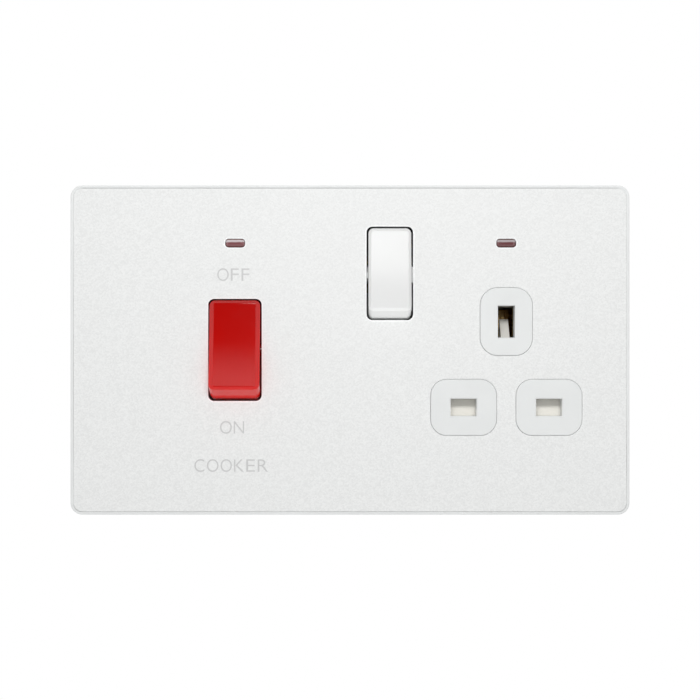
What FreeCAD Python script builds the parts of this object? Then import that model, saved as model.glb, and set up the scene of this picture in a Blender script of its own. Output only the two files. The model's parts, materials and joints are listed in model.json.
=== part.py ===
import FreeCAD, Part
import math
import os

# Cooker control unit: a double-pole rocker switch and a switched three-pin socket behind one clip-on plate.
# Millimetres. +X is right seen from the front, -Y faces the room, +Z is up.
# The origin is the midpoint of the two fixing screws, on the wall plane.

# Front plate and its frame
PLATE_WIDTH = 146.0
PLATE_HEIGHT = 86.0
PROJECTION = 6.0
OUTER_CORNER_R = 3.05
RIM_WIDTH = 0.7
PLATE_GAP = 0.08
METAL_THICKNESS = 0.8
METAL_EDGE = 0.2
RIM_EDGE = 0.3
WEB_THICKNESS = 1.2
SKIRT_WALL = 1.5
SKIRT_RIB_LENGTH = 16.0
SKIRT_RIB_X = (-33.0, 0.0, 33.0)
RIB_THICKNESS = 1.0
RIB_DEPTH = 0.9
WEB_CLEARANCE = 0.35
TICK_WIDTH = 0.5
TICK_CLEARANCE = 0.02
TICK_X = 55.3
TICK_LOW_Z = -24.8
TICK_HIGH_Z = 11.4
PRY_NOTCH_WIDTH = 14.0
PRY_NOTCH_DEPTH = 1.4
CLIP_X = (-50.0, -16.0, 16.0, 50.0)
CLIP_WIDTH = 7.0
CLIP_LEG = 1.3
CLIP_NOSE = 0.8
CLIP_CLEARANCE = 0.15
CLIP_HEIGHT = 0.9

# Steel mounting yoke and its screws
FLANGE_THICKNESS = 1.2
YOKE_THICKNESS = 1.2
YOKE_INSET_W = 4.0
YOKE_INSET_H = 5.0
YOKE_CORNER_R = 3.0
FIXING_SPACING = 120.6
DIMPLE_WIDTH = 13.0
DIMPLE_HEIGHT = 13.0
DIMPLE_R = 2.0
FIXING_SLOT_LENGTH = 6.4
FIXING_HOLE_R = 2.0
FIXING_SCREW_R = 1.75
FIXING_NECK_R = 1.5
FIXING_SCREW_LENGTH = 25.0
FIXING_SCREW_POINT = 0.5
FIXING_HEAD_R = 3.4
FIXING_HEAD_HEIGHT = 2.0
SCREW_SLOT_WIDTH = 0.9
SCREW_SLOT_DEPTH = 0.9
YOKE_WINDOW_EDGE = 1.3
YOKE_WINDOW_R = 1.5
WELL_WINDOW_MARGIN = 0.35
SOCKET_WINDOW_TOP = 15.4
LAMP_WINDOW_MARGIN = 0.6

# Cooker switch: rocker, well and housing
COOKER_X = -30.05
COOKER_Z = 0.0
COOKER_OPENING_W = 13.9
COOKER_OPENING_H = 26.6
OPENING_R = 1.5
COOKER_ROCKER_W = 13.2
COOKER_PIVOT_DEPTH = 5.2
COOKER_THROW = 20.8
COOKER_FACE_R = 13.67
COOKER_FACE_ANGLE = 54.5
COOKER_BROW_R = 13.955
COOKER_BROW_ANGLE = 57.7
COOKER_SKIRT_R = 13.05
COOKER_POLE_PITCH = 7.2
COOKER_STUB_R = 1.7
COOKER_BACK_DEPTH = 4.0
ROCKER_CORNER_R = 1.4
ROCKER_EDGE = 0.35
ROCKER_DISH = 0.55
HOLLOW_TAPER = 1.0
ROCKER_SKIRT_ANGLE = 79.6
ROCKER_WALL = 1.4
STUB_CLEARANCE = 0.08
STUB_ENGAGEMENT = 1.5
WELL_SIDE_CLEARANCE = 0.15
WELL_WALL = 2.3
WELL_END_CLEARANCE = 0.25
WELL_BACK_Y = 6.0
EAR_R = 2.5
EAR_HEIGHT = 0.2
FLANGE_MARGIN_W = 1.5
FLANGE_MARGIN_H = 8.5
FLANGE_R = 2.0
PILOT_SKIN = 0.4
PILOT_PLAY = 0.03

# Plungers, springs and see-saw contacts of both switches
GUIDE_R = 2.5
GUIDE_BORE_R = 1.7
GUIDE_REACH = 5.5
PLUNGER_R = 1.6
PLUNGER_START = 1.0
PLUNGER_REACH = 13.4
PLUNGER_NOSE = 1.3
SPRING_SEAT_DEPTH = 0.5
SPRING_MEAN_R = 1.1
SPRING_WIRE_R = 0.25
SPRING_TURNS = 4.0
SPRING_STEPS = 10
PLUNGER_GAP = 0.1
CONTACT_THROW = 12.0
STRIP_THICKNESS = 1.2
STRIP_WIDTH = 4.6
STRIP_HALF_LENGTH = 12.0
STRIP_CORNER_R = 1.4
SADDLE_HALF = 1.9
SADDLE_DEPTH = 0.3
PIVOT_TIP_R = 0.8
PIVOT_CLEARANCE = 0.1
BUTTON_R = 1.7
BUTTON_HEIGHT = 0.8
BUTTON_Z = 10.3
CONTACT_GAP = 0.25
POLE_ROOM = 0.5
STRIP_ROOM = 1.5
BARRIER_THICKNESS = 1.0
BARRIER_GAP = 2.0

# Cooker housing, terminals and their screws
COOKER_BASE_LEFT = 21.0
MODULE_JOINT_X = -4.0
COOKER_BASE_HEIGHT = 66.0
BASE_DEPTH = 27.0
BASE_CORNER_R = 2.5
BASE_EDGE = 0.8
BASE_FLOOR = 2.0
TERMINAL_OFFSET_X = 11.5
TERMINAL_WIDTH = 11.0
TERMINAL_DEPTH = 11.0
TERMINAL_LENGTH = 12.0
TERMINAL_BORE_R = 3.2
TERMINAL_SCREW_R = 2.0
TERMINAL_HEAD_R = 3.0
TERMINAL_HEAD_HEIGHT = 2.2
TERMINAL_SCREW_PITCH = 6.4
TERMINAL_END_GAP = 1.0
TERMINAL_CHAMFER = 0.6
TAP_PLAY = 0.05
SCREW_LIFT = 0.1
DRIVER_PLAY = 0.3
ENTRY_LENGTH = 6.0
ENTRY_R = 4.0
ARM_THICKNESS = 1.2
ARM_FRONT_Y = 17.2
ARM_END = 0.6
SHOULDER_HEIGHT = 2.5
SHOULDER_ROOM = 0.2
FINGER_NOTCH_WIDTH = 8.0
FINGER_NOTCH_DEPTH = 1.0
POCKET_CLEARANCE = 0.15
CAVITY_CLEARANCE = 1.2
ASSEMBLY_SCREW_R = 1.3
ASSEMBLY_HEAD_R = 2.6
ASSEMBLY_HEAD_HEIGHT = 1.6
ASSEMBLY_BOSS_R = 2.8
ASSEMBLY_TIP_GAP = 0.6
ASSEMBLY_HOLE_PLAY = 0.15
ASSEMBLY_SINK_PLAY = 0.2
SCREW_BOSS_GAP = 0.3
COOKER_SCREW_X = 14.6
COOKER_SCREW_DROP = 4.5

# Socket switch
SOCKET_SWITCH_X = 10.4
SOCKET_SWITCH_Z = 20.0
SOCKET_OPENING_W = 12.1
SOCKET_OPENING_H = 24.4
SOCKET_ROCKER_W = 11.2
SOCKET_PIVOT_DEPTH = 4.55
SOCKET_THROW = 16.8
SOCKET_FACE_R = 12.2
SOCKET_FACE_ANGLE = 57.1
SOCKET_BROW_R = 12.58
SOCKET_BROW_ANGLE = 60.6
SOCKET_SKIRT_R = 11.8
SOCKET_STUB_R = 2.1
SOCKET_BACK_DEPTH = 3.6
SOCKET_CONTACT_THROW = 12.0

# Pin apertures, islands and shutter
PIN_ROW_Z = -15.0
EARTH_Z = 7.4
SOCKET_X = 40.81
LINE_PIN_PITCH = 22.3
ISLAND_PROUD = 0.4
ISLAND_GAP = 0.08
ISLAND_EDGE = 0.3
LINE_ISLAND_W = 17.3
LINE_ISLAND_H = 14.7
LINE_ISLAND_R = 4.3
EARTH_ISLAND_W = 13.7
EARTH_ISLAND_H = 17.75
EARTH_ISLAND_R = 4.6
LINE_SLOT_W = 6.8
LINE_SLOT_H = 4.57
EARTH_SLOT_W = 4.4
EARTH_SLOT_H = 8.35
SLOT_CHAMFER = 0.35
SLOT_DEPTH = 4.4
SLOT_GUIDE_WALL = 1.5
SHUTTER_THICKNESS = 2.6
SHUTTER_SLIDE_GAP = 0.2
SHUTTER_OVERLAP = 0.55
SHUTTER_SIDE = 0.8
SHUTTER_TRAVEL = 5.4
SHUTTER_TRAVEL_ROOM = 0.6
SHUTTER_CORNER = 0.6
SHUTTER_SKIN = 1.2
SHUTTER_HOLLOW_W = 10.0
TONGUE_X_OFFSET = 0.15
TONGUE_WIDTH = 2.3
TONGUE_TIP_DEPTH = 0.8
TONGUE_HEEL = 1.0
TONGUE_ROOM = 1.0
TONGUE_TOP_Z = 8.2
TONGUE_RAMP_HEIGHT = 5.0
TONGUE_EXTRA_DEPTH = 2.6
SHUTTER_SPRING_R = 1.0
SHUTTER_SPRING_WIRE_R = 0.22
SHUTTER_SPRING_TURNS = 6.0
SPRING_SEAT_RISE = 2.0

# Socket contacts, links and housing
SOCKET_BASE_TOP = 36.4
SOCKET_BASE_STEP_Z = 4.0
SOCKET_BASE_RIGHT = 53.5
SOCKET_BASE_FOOT_LEFT = 21.0
SOCKET_BASE_FOOT_RIGHT = 59.0
SOCKET_BASE_FOOT_TOP = -7.5
SOCKET_BASE_BOTTOM = -31.0
SOCKET_BASE_BACK_Y = 24.0
FRONT_OVERHANG = 1.0
FRONT_INSET = 4.0
MOULDING_CORNER_R = 1.5
LEAF_THICKNESS = 0.8
JAW_GRIP = 3.6
JAW_WIDTH = 6.0
JAW_FRONT_Y = 3.0
JAW_BACK_Y = 14.0
JAW_FLARE = 0.9
JAW_FLARE_LENGTH = 2.0
EARTH_JAW_WIDTH = 7.4
EARTH_JAW_FRONT_Y = 5.0
EARTH_JAW_BACK_Y = 17.2
EARTH_TAIL_WIDTH = 3.0
EARTH_TAIL_DROP = 3.6
TAIL_PLAY_X = 0.2
TAIL_PLAY_Z = 0.1
JAW_ROOM_SIDE = 0.5
JAW_ROOM_END = 0.6
EARTH_ROOM_END = 0.4
LINK_HEIGHT = 3.0
LIVE_LINK_Y = 21.0
LIVE_LINK_GAP = 1.5
LIVE_TAB_WIDTH = 2.0
LIVE_TAB_LAP = 4.0
NEUTRAL_LINK_Y = 18.0
NEUTRAL_LINK_RISE = 3.0
NEUTRAL_PAD_REACH = 2.5
NEUTRAL_DROP_X = 22.0
LIVE_RISER_X = 48.0
LIVE_RISER_TOP_Z = 30.5
FIXED_BUTTON_R = 1.3
FIXED_BUTTON_HEIGHT = 1.0
FIXED_BUTTON_DROP = 1.0
SOCKET_SCREWS = ((32.5, 19.0), (45.0, 19.0), (31.0, -27.0), (50.0, -27.0))

# Earth parts
EARTH_BLOCK_X = 5.0
EARTH_BLOCK_Z = -24.0
EARTH_BLOCK_W = 10.0
EARTH_BLOCK_H = 12.0
EARTH_BLOCK_D = 10.0
EARTH_BORE_R = 2.8
EARTH_HEAD_R = 2.8
EYE_PLAY = 0.15
STRAP_LUG_HALF = 2.0
STRAP_LUG_RISE = 1.0
STRAP_THICKNESS = 0.8
STRAP_WIDTH = 4.0
STRAP_EYE_R = 3.3
EARTH_SCREW_PITCH = 7.0
STRAP_Z = 0.0
STRAP_BEND_X = 18.0
TAG_INSET = 11.0
TAG_Z = 20.0
TAG_WIDTH = 6.0
TAG_LENGTH = 12.0
TAG_THICKNESS = 0.4
TAG_ROOT_LENGTH = 7.0
TAG_ROOT_TOP = 1.3
TAG_CREST_LOW = 7.3
TAG_CREST_HIGH = 8.9
TAG_TIP = 10.3
TAG_LEAD = 0.3
TAG_ROOM = 0.5
RIVET_R = 1.5
RIVET_HEIGHT = 0.6
RIVET_DROP = 2.7

# Neon indicators
NEON_Z = 27.9
NEON_COOKER_X = -30.0
NEON_SOCKET_X = 40.8
NEON_WINDOW_W = 5.15
NEON_WINDOW_H = 2.25
NEON_WINDOW_R = 0.6
NEON_FIT = 0.06
NEON_FLANGE_MARGIN = 1.0
NEON_FLANGE_THICKNESS = 0.8
LAMP_R = 1.8
LAMP_LENGTH = 8.0
LAMP_AXIS_Y = 0.6
LAMP_POCKET_CLEARANCE = 0.25
RESISTOR_R = 0.9
RESISTOR_LENGTH = 5.0
RESISTOR_AXIS_Y = 4.2

# Levels along the depth, worked out from the front face backwards
FACE_Y = -PROJECTION
WEB_FRONT_Y = FACE_Y + METAL_THICKNESS
WEB_BACK_Y = WEB_FRONT_Y + WEB_THICKNESS
FLANGE_BACK_Y = WEB_BACK_Y + FLANGE_THICKNESS
YOKE_BACK_Y = FLANGE_BACK_Y + YOKE_THICKNESS
ISLAND_FACE_Y = FACE_Y - ISLAND_PROUD
SLOT_BACK_Y = ISLAND_FACE_Y + SLOT_DEPTH
SHUTTER_FRONT_Y = SLOT_BACK_Y + SHUTTER_SLIDE_GAP
SHUTTER_BACK_Y = SHUTTER_FRONT_Y + SHUTTER_THICKNESS
COOKER_PIVOT_Y = FACE_Y + COOKER_PIVOT_DEPTH
SOCKET_PIVOT_Y = FACE_Y + SOCKET_PIVOT_DEPTH
TERMINAL_FRONT_Y = BASE_DEPTH - BASE_FLOOR - TERMINAL_DEPTH
TERMINAL_BACK_Y = BASE_DEPTH - BASE_FLOOR
TERMINAL_AXIS_Y = TERMINAL_FRONT_Y + TERMINAL_DEPTH / 2
ARM_BACK_Y = ARM_FRONT_Y + ARM_THICKNESS
SHOULDER_BACK_Y = max(ARM_BACK_Y, TERMINAL_FRONT_Y + ARM_THICKNESS)

# Places that follow from other sizes
YOKE_WIDTH = PLATE_WIDTH - 2 * YOKE_INSET_W
YOKE_HEIGHT = PLATE_HEIGHT - 2 * YOKE_INSET_H
TERMINAL_LOW_Z = COOKER_BASE_HEIGHT / 2 - TERMINAL_END_GAP - TERMINAL_LENGTH
LIVE_LINK_Z = TERMINAL_LOW_Z - LIVE_LINK_GAP - LINK_HEIGHT
NEUTRAL_LINK_Z = SOCKET_SWITCH_Z + NEUTRAL_LINK_RISE
COOKER_SCREW_Z = LIVE_LINK_Z - COOKER_SCREW_DROP
SPRING_SEAT_Z = SOCKET_BASE_BOTTOM + SPRING_SEAT_RISE
LINE_ISLAND_X = (SOCKET_X - LINE_PIN_PITCH / 2, SOCKET_X + LINE_PIN_PITCH / 2)
TONGUE_X = SOCKET_X + TONGUE_X_OFFSET
TAG_X = TAG_INSET - PLATE_WIDTH / 2
THROUGH = 60.0
TOUCH = 0.001


def vec(x, y, z):
    return FreeCAD.Vector(x, y, z)


AXES = {"x": vec(1, 0, 0), "y": vec(0, 1, 0), "z": vec(0, 0, 1)}


def box(x0, x1, y0, y1, z0, z1):
    """Block between two corners, whichever way round each pair is given."""
    low = vec(min(x0, x1), min(y0, y1), min(z0, z1))
    return Part.makeBox(abs(x1 - x0), abs(y1 - y0), abs(z1 - z0), low)


def rod(axis, centre, start, end, radius):
    """Cylinder along an axis; centre gives the two other coordinates in X, Y, Z order."""
    places = {
        "x": vec(start, centre[0], centre[1]),
        "y": vec(centre[0], start, centre[1]),
        "z": vec(centre[0], centre[1], start),
    }
    return Part.makeCylinder(radius, end - start, places[axis], AXES[axis])


def edges_along(shape, axis):
    """Straight edges parallel to an axis."""
    found = []
    for edge in shape.Edges:
        if isinstance(edge.Curve, Part.Line):
            run = edge.Vertexes[-1].Point.sub(edge.Vertexes[0].Point)
            if run.normalize().cross(AXES[axis]).Length < 1e-6:
                found.append(edge)
    return found


def edges_at_y(shape, level):
    """Edges that lie wholly in the plane y = level."""
    found = []
    for edge in shape.Edges:
        bounds = edge.BoundBox
        if abs(bounds.YMin - level) < 1e-4 and abs(bounds.YMax - level) < 1e-4:
            found.append(edge)
    return found


def rounded_block(cx, cz, width, height, radius, y0, y1):
    """Block with rounded corners as seen from the front."""
    block = box(cx - width / 2, cx + width / 2, y0, y1, cz - height / 2, cz + height / 2)
    return block.makeFillet(radius, edges_along(block, "y"))


def front_polygon(points, y0, y1):
    """Polygon of (x, z) points, extruded in depth."""
    corners = [vec(x, y0, z) for x, z in points]
    face = Part.Face(Part.makePolygon(corners + corners[:1]))
    return face.extrude(vec(0, y1 - y0, 0))


def side_polygon(points, x0, x1):
    """Polygon of (y, z) points, extruded across the width."""
    corners = [vec(x0, y, z) for y, z in points]
    face = Part.Face(Part.makePolygon(corners + corners[:1]))
    return face.extrude(vec(x1 - x0, 0, 0))


def top_polygon(points, z0, z1):
    """Polygon of (x, y) points, extruded upwards."""
    corners = [vec(x, y, z0) for x, y in points]
    face = Part.Face(Part.makePolygon(corners + corners[:1]))
    return face.extrude(vec(0, 0, z1 - z0))


def joined(shapes):
    return shapes[0].multiFuse(list(shapes[1:])).removeSplitter()


def without(shape, cutters):
    return shape.cut(Part.makeCompound(list(cutters)))


def turned_x(shape, pivot_y, pivot_z, degrees):
    """Copy of a shape turned about an X axis through (pivot_y, pivot_z)."""
    copy = shape.copy()
    copy.rotate(vec(0, pivot_y, pivot_z), AXES["x"], degrees)
    return copy


def helix_spring(mean_r, wire_r, length, turns):
    """Coil spring along +Z from the origin, bent in short straight steps round its helix."""
    rise = length - 2 * wire_r
    count = int(turns * SPRING_STEPS)
    points = []
    for i in range(count + 1):
        angle = 2 * math.pi * i / SPRING_STEPS
        points.append(vec(mean_r * math.cos(angle), mean_r * math.sin(angle), wire_r + rise * i / count))
    path = Part.makePolygon(points)
    corners = [vec(mean_r - wire_r, 0, wire_r), vec(mean_r, 0, 0), vec(mean_r + wire_r, 0, wire_r),
               vec(mean_r, 0, 2 * wire_r)]
    section = Part.makePolygon(corners + corners[:1])
    return path.makePipeShell([section], True, True, 1)


def openings():
    """Every opening in the front plate: centre, size and corner radius."""
    found = [
        (COOKER_X, COOKER_Z, COOKER_OPENING_W, COOKER_OPENING_H, OPENING_R),
        (SOCKET_SWITCH_X, SOCKET_SWITCH_Z, SOCKET_OPENING_W, SOCKET_OPENING_H, OPENING_R),
        (NEON_COOKER_X, NEON_Z, NEON_WINDOW_W, NEON_WINDOW_H, NEON_WINDOW_R),
        (NEON_SOCKET_X, NEON_Z, NEON_WINDOW_W, NEON_WINDOW_H, NEON_WINDOW_R),
    ]
    for x, z, width, height, radius in islands():
        spread = 2 * ISLAND_GAP
        found.append((x, z, width + spread, height + spread, radius + ISLAND_GAP))
    return found


def islands():
    """The three raised pads of the socket: centre, size and corner radius."""
    pads = [(SOCKET_X, EARTH_Z, EARTH_ISLAND_W, EARTH_ISLAND_H, EARTH_ISLAND_R)]
    for x in LINE_ISLAND_X:
        pads.append((x, PIN_ROW_Z, LINE_ISLAND_W, LINE_ISLAND_H, LINE_ISLAND_R))
    return pads


def slots():
    """The three pin apertures: centre and size."""
    found = [(SOCKET_X, EARTH_Z, EARTH_SLOT_W, EARTH_SLOT_H)]
    for x in LINE_ISLAND_X:
        found.append((x, PIN_ROW_Z, LINE_SLOT_W, LINE_SLOT_H))
    return found


def front_plate():
    """Pressed metal front plate with its openings and softened edges."""
    inset = 2 * (RIM_WIDTH + PLATE_GAP)
    radius = OUTER_CORNER_R - RIM_WIDTH
    plate = rounded_block(0, 0, PLATE_WIDTH - inset, PLATE_HEIGHT - inset, radius, FACE_Y, WEB_FRONT_Y)
    cutters = [rounded_block(*hole, FACE_Y - 1, WEB_FRONT_Y + 1) for hole in openings()]
    plate = without(plate, cutters)
    return plate.makeChamfer(METAL_EDGE, edges_at_y(plate, FACE_Y))


def web_openings():
    """Openings in the plastic web, wider than those in the metal so that its edge stays hidden."""
    spread = 2 * WEB_CLEARANCE
    collar = 2 * (WELL_SIDE_CLEARANCE + WELL_WALL)
    holes = []
    for x, z, width, height, radius in islands():
        holes.append((x, z, width + 2 * spread, height + 2 * spread, radius + spread))
    for x, z, width, height, radius in openings()[:2]:
        holes.append((x, z, width + collar + spread, height + collar + spread, radius))
    for x in (NEON_COOKER_X, NEON_SOCKET_X):
        holes.append((x, NEON_Z, NEON_WINDOW_W + spread, NEON_WINDOW_H + spread, NEON_WINDOW_R))
    return [rounded_block(*hole, FACE_Y - 1, WEB_BACK_Y + 1) for hole in holes]


def skirt_ribs():
    """Long stiffening ribs inside the top and bottom edges, broken where the yoke clips in."""
    ribs = []
    reach = PLATE_HEIGHT / 2 - SKIRT_WALL
    half = SKIRT_RIB_LENGTH / 2
    for side in (-1, 1):
        for x in SKIRT_RIB_X:
            low = side * (reach - RIB_THICKNESS)
            ribs.append(box(x - half, x + half, WEB_BACK_Y - TOUCH, WEB_BACK_Y + RIB_DEPTH, low,
                            side * reach))
    return ribs


def locating_ticks():
    """Small ribs that centre the metal plate in its rim."""
    half = TICK_WIDTH / 2
    outer_x = PLATE_WIDTH / 2 - RIM_WIDTH
    outer_z = PLATE_HEIGHT / 2 - RIM_WIDTH
    reach = PLATE_GAP - TICK_CLEARANCE
    ticks = []
    for x in (-TICK_X, TICK_X):
        for side in (-1, 1):
            low = side * (outer_z - reach)
            ticks.append(box(x - half, x + half, FACE_Y + METAL_EDGE, WEB_FRONT_Y, low, side * outer_z))
    for side, z in ((-1, TICK_HIGH_Z), (-1, TICK_LOW_Z), (1, TICK_LOW_Z)):
        low = side * (outer_x - reach)
        ticks.append(box(low, side * outer_x, FACE_Y + METAL_EDGE, WEB_FRONT_Y, z - half, z + half))
    return ticks


def plate_clips():
    """Hooks that reach past the yoke's long edges and snap behind it."""
    clips = []
    nose_y = YOKE_BACK_Y + CLIP_CLEARANCE
    edge = YOKE_HEIGHT / 2 + CLIP_CLEARANCE
    for side in (-1, 1):
        profile = [
            (WEB_BACK_Y - TOUCH, side * edge),
            (nose_y, side * edge),
            (nose_y, side * (edge - CLIP_NOSE)),
            (nose_y + CLIP_HEIGHT, side * edge),
            (nose_y + CLIP_HEIGHT, side * (edge + CLIP_LEG)),
            (WEB_BACK_Y - TOUCH, side * (edge + CLIP_LEG)),
        ]
        for x in CLIP_X:
            clips.append(side_polygon(profile, x - CLIP_WIDTH / 2, x + CLIP_WIDTH / 2))
    return clips


def plate_frame():
    """White plastic frame: visible rim, web behind the metal, skirt to the wall, clips and ribs."""
    rim_r = OUTER_CORNER_R - RIM_WIDTH
    shell = rounded_block(0, 0, PLATE_WIDTH, PLATE_HEIGHT, OUTER_CORNER_R, FACE_Y, 0)
    shell = shell.makeChamfer(RIM_EDGE, edges_at_y(shell, FACE_Y))
    seat_w = PLATE_WIDTH - 2 * RIM_WIDTH
    seat_h = PLATE_HEIGHT - 2 * RIM_WIDTH
    seat = rounded_block(0, 0, seat_w, seat_h, rim_r, FACE_Y - 1, WEB_FRONT_Y)
    hollow_w = PLATE_WIDTH - 2 * SKIRT_WALL
    hollow_h = PLATE_HEIGHT - 2 * SKIRT_WALL
    hollow = rounded_block(0, 0, hollow_w, hollow_h, OUTER_CORNER_R - SKIRT_WALL, WEB_BACK_Y, 1)
    notch_z = -PLATE_HEIGHT / 2
    notch_half = PRY_NOTCH_WIDTH / 2
    notch = box(-notch_half, notch_half, -PRY_NOTCH_DEPTH, 1, notch_z - 1, notch_z + SKIRT_WALL + 1)
    tag_half = TAG_WIDTH / 2 + TAG_ROOM
    tag = box(TAG_X - tag_half, TAG_X + tag_half, FACE_Y, 0, TAG_Z, TAG_Z + TAG_LENGTH)
    shell = without(shell, [seat, hollow, notch, tag] + web_openings())
    return joined([shell] + skirt_ribs() + locating_ticks() + plate_clips())


def yoke_dimple(x):
    """Drawn recess round one fixing screw, so that its head sits behind the plate."""
    width = DIMPLE_WIDTH
    outer = rounded_block(x, 0, width, DIMPLE_HEIGHT, DIMPLE_R, FLANGE_BACK_Y, 0)
    inner_w = width - 2 * YOKE_THICKNESS
    inner_h = DIMPLE_HEIGHT - 2 * YOKE_THICKNESS
    inner = rounded_block(x, 0, inner_w, inner_h, DIMPLE_R / 2, FLANGE_BACK_Y - 1, -YOKE_THICKNESS)
    return outer.cut(inner)


def fixing_slot(x):
    """Level-adjusting slot for a fixing screw, upright on both sides."""
    width = 2 * FIXING_HOLE_R
    slot = box(x - FIXING_HOLE_R, x + FIXING_HOLE_R, -THROUGH, THROUGH, -FIXING_SLOT_LENGTH / 2,
               FIXING_SLOT_LENGTH / 2)
    return slot.makeFillet(width / 2 - TOUCH, edges_along(slot, "y"))


def socket_window_points():
    """Outline of the yoke's opening round the back of the socket."""
    edge = YOKE_WINDOW_EDGE
    left = SOCKET_BASE_FOOT_LEFT + edge
    right = SOCKET_BASE_RIGHT - LAMP_WINDOW_MARGIN
    foot_right = SOCKET_BASE_FOOT_RIGHT - edge
    foot_top = SOCKET_BASE_FOOT_TOP - edge
    top = SOCKET_WINDOW_TOP
    bottom = min(z for x, z in SOCKET_SCREWS) - ASSEMBLY_BOSS_R - SCREW_BOSS_GAP
    return [(left, bottom), (foot_right, bottom), (foot_right, foot_top), (right, foot_top), (right, top),
            (left, top)]


def mounting_yoke():
    """Pressed steel yoke with windows for the mechanisms and recessed fixing points."""
    yoke = rounded_block(0, 0, YOKE_WIDTH, YOKE_HEIGHT, YOKE_CORNER_R, FLANGE_BACK_Y, YOKE_BACK_Y)
    edge = 2 * WELL_WINDOW_MARGIN
    cooker_w = 2 * (COOKER_SCREW_X + ASSEMBLY_BOSS_R) + edge
    well_h = well_outer(COOKER_OPENING_W, COOKER_OPENING_H)[1]
    cooker_h = max(well_h, 2 * (COOKER_SCREW_Z + ASSEMBLY_BOSS_R)) + edge
    switch_w, switch_h = well_outer(SOCKET_OPENING_W, SOCKET_OPENING_H)
    cutters = [
        rounded_block(COOKER_X, COOKER_Z, cooker_w, cooker_h, YOKE_WINDOW_R, -THROUGH, THROUGH),
        front_polygon(socket_window_points(), -THROUGH, THROUGH),
        rounded_block(SOCKET_SWITCH_X, SOCKET_SWITCH_Z, switch_w + edge, switch_h + edge, YOKE_WINDOW_R,
                      -THROUGH, THROUGH),
    ]
    half_w = LAMP_LENGTH / 2 + LAMP_WINDOW_MARGIN
    half_h = LAMP_R + LAMP_WINDOW_MARGIN
    for x in (NEON_COOKER_X, NEON_SOCKET_X):
        cutters.append(box(x - half_w, x + half_w, -THROUGH, THROUGH, NEON_Z - half_h, NEON_Z + half_h))
    for x, z in SOCKET_SCREWS[:2]:
        cutters.append(rod("y", (x, z), -THROUGH, THROUGH, ASSEMBLY_BOSS_R + SCREW_BOSS_GAP))
    dimples = []
    for x in (-FIXING_SPACING / 2, FIXING_SPACING / 2):
        cutters.append(rounded_block(x, 0, DIMPLE_WIDTH, DIMPLE_HEIGHT, DIMPLE_R, -THROUGH, THROUGH))
        dimples.append(yoke_dimple(x).cut(fixing_slot(x)))
    return joined([without(yoke, cutters)] + dimples)


def fixing_screws():
    """Two slotted pan-head screws that hold the unit to its box."""
    screws = []
    for x in (-FIXING_SPACING / 2, FIXING_SPACING / 2):
        seat_y = -YOKE_THICKNESS
        head = rod("y", (x, 0), seat_y - FIXING_HEAD_HEIGHT, seat_y, FIXING_HEAD_R)
        head = head.makeChamfer(FIXING_HEAD_HEIGHT / 3, edges_at_y(head, seat_y - FIXING_HEAD_HEIGHT))
        top = seat_y - FIXING_HEAD_HEIGHT
        slot = box(x - FIXING_HEAD_R, x + FIXING_HEAD_R, top - 1, top + SCREW_SLOT_DEPTH,
                   -SCREW_SLOT_WIDTH / 2, SCREW_SLOT_WIDTH / 2)
        neck = rod("y", (x, 0), seat_y, 0, FIXING_NECK_R)
        shank = rod("y", (x, 0), 0, seat_y + FIXING_SCREW_LENGTH, FIXING_SCREW_R)
        shank = shank.makeChamfer(FIXING_SCREW_POINT, edges_at_y(shank, seat_y + FIXING_SCREW_LENGTH))
        screws.append(joined([head.cut(slot), neck, shank]))
    return Part.makeCompound(screws)


def polar(radius, degrees, side):
    """Point of a rocker's section: height and depth in front of the pivot."""
    angle = math.radians(degrees)
    return side * radius * math.sin(angle), radius * math.cos(angle)


def dish_depth(face_z, throw):
    """How far the middle of a rocker's face lies behind its ends."""
    return ROCKER_DISH * face_z * math.tan(math.radians(throw / 4))


def rocker_section(pivot_y, pivot_z, sizes):
    """Side view of a rocker, level: dished face, brows, sloped ends and skirts round the pivot."""
    face_r, face_angle, brow_r, brow_angle, skirt_r, throw, back_depth = sizes
    face_z, face_depth = polar(face_r, face_angle, 1)
    brow_z, brow_depth = polar(brow_r, brow_angle, 1)
    skirt_z, skirt_depth = polar(skirt_r, ROCKER_SKIRT_ANGLE, 1)
    back_z = math.sqrt(skirt_r ** 2 - back_depth ** 2)
    sag = dish_depth(face_z, throw)

    def place(depth, z):
        return vec(0, pivot_y - depth, pivot_z + z)

    top_face = place(face_depth, face_z)
    low_face = place(face_depth, -face_z)
    top_brow = place(brow_depth, brow_z)
    low_brow = place(brow_depth, -brow_z)
    top_skirt = place(skirt_depth, skirt_z)
    low_skirt = place(skirt_depth, -skirt_z)
    top_back = place(-back_depth, back_z)
    low_back = place(-back_depth, -back_z)
    edges = [
        Part.Arc(top_face, place(face_depth - sag, 0), low_face).toShape(),
        Part.LineSegment(low_face, low_brow).toShape(),
        Part.LineSegment(low_brow, low_skirt).toShape(),
        Part.Arc(low_skirt, place(0, -skirt_r), low_back).toShape(),
        Part.LineSegment(low_back, top_back).toShape(),
        Part.Arc(top_back, place(0, skirt_r), top_skirt).toShape(),
        Part.LineSegment(top_skirt, top_brow).toShape(),
        Part.LineSegment(top_brow, top_face).toShape(),
    ]
    return Part.Face(Part.Wire(edges)), face_z, face_depth - sag


def end_edges(body, x_centre, width, pivot_y):
    """The corner edges of a rocker's ends, ahead of its pivot."""
    found = []
    for edge in body.Edges:
        bounds = edge.BoundBox
        at_side = abs(abs(bounds.XMin - x_centre) - width / 2) < 1e-4 and bounds.XLength < 1e-4
        if at_side and isinstance(edge.Curve, Part.Line) and bounds.YMax < pivot_y:
            found.append(edge)
    return found


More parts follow.
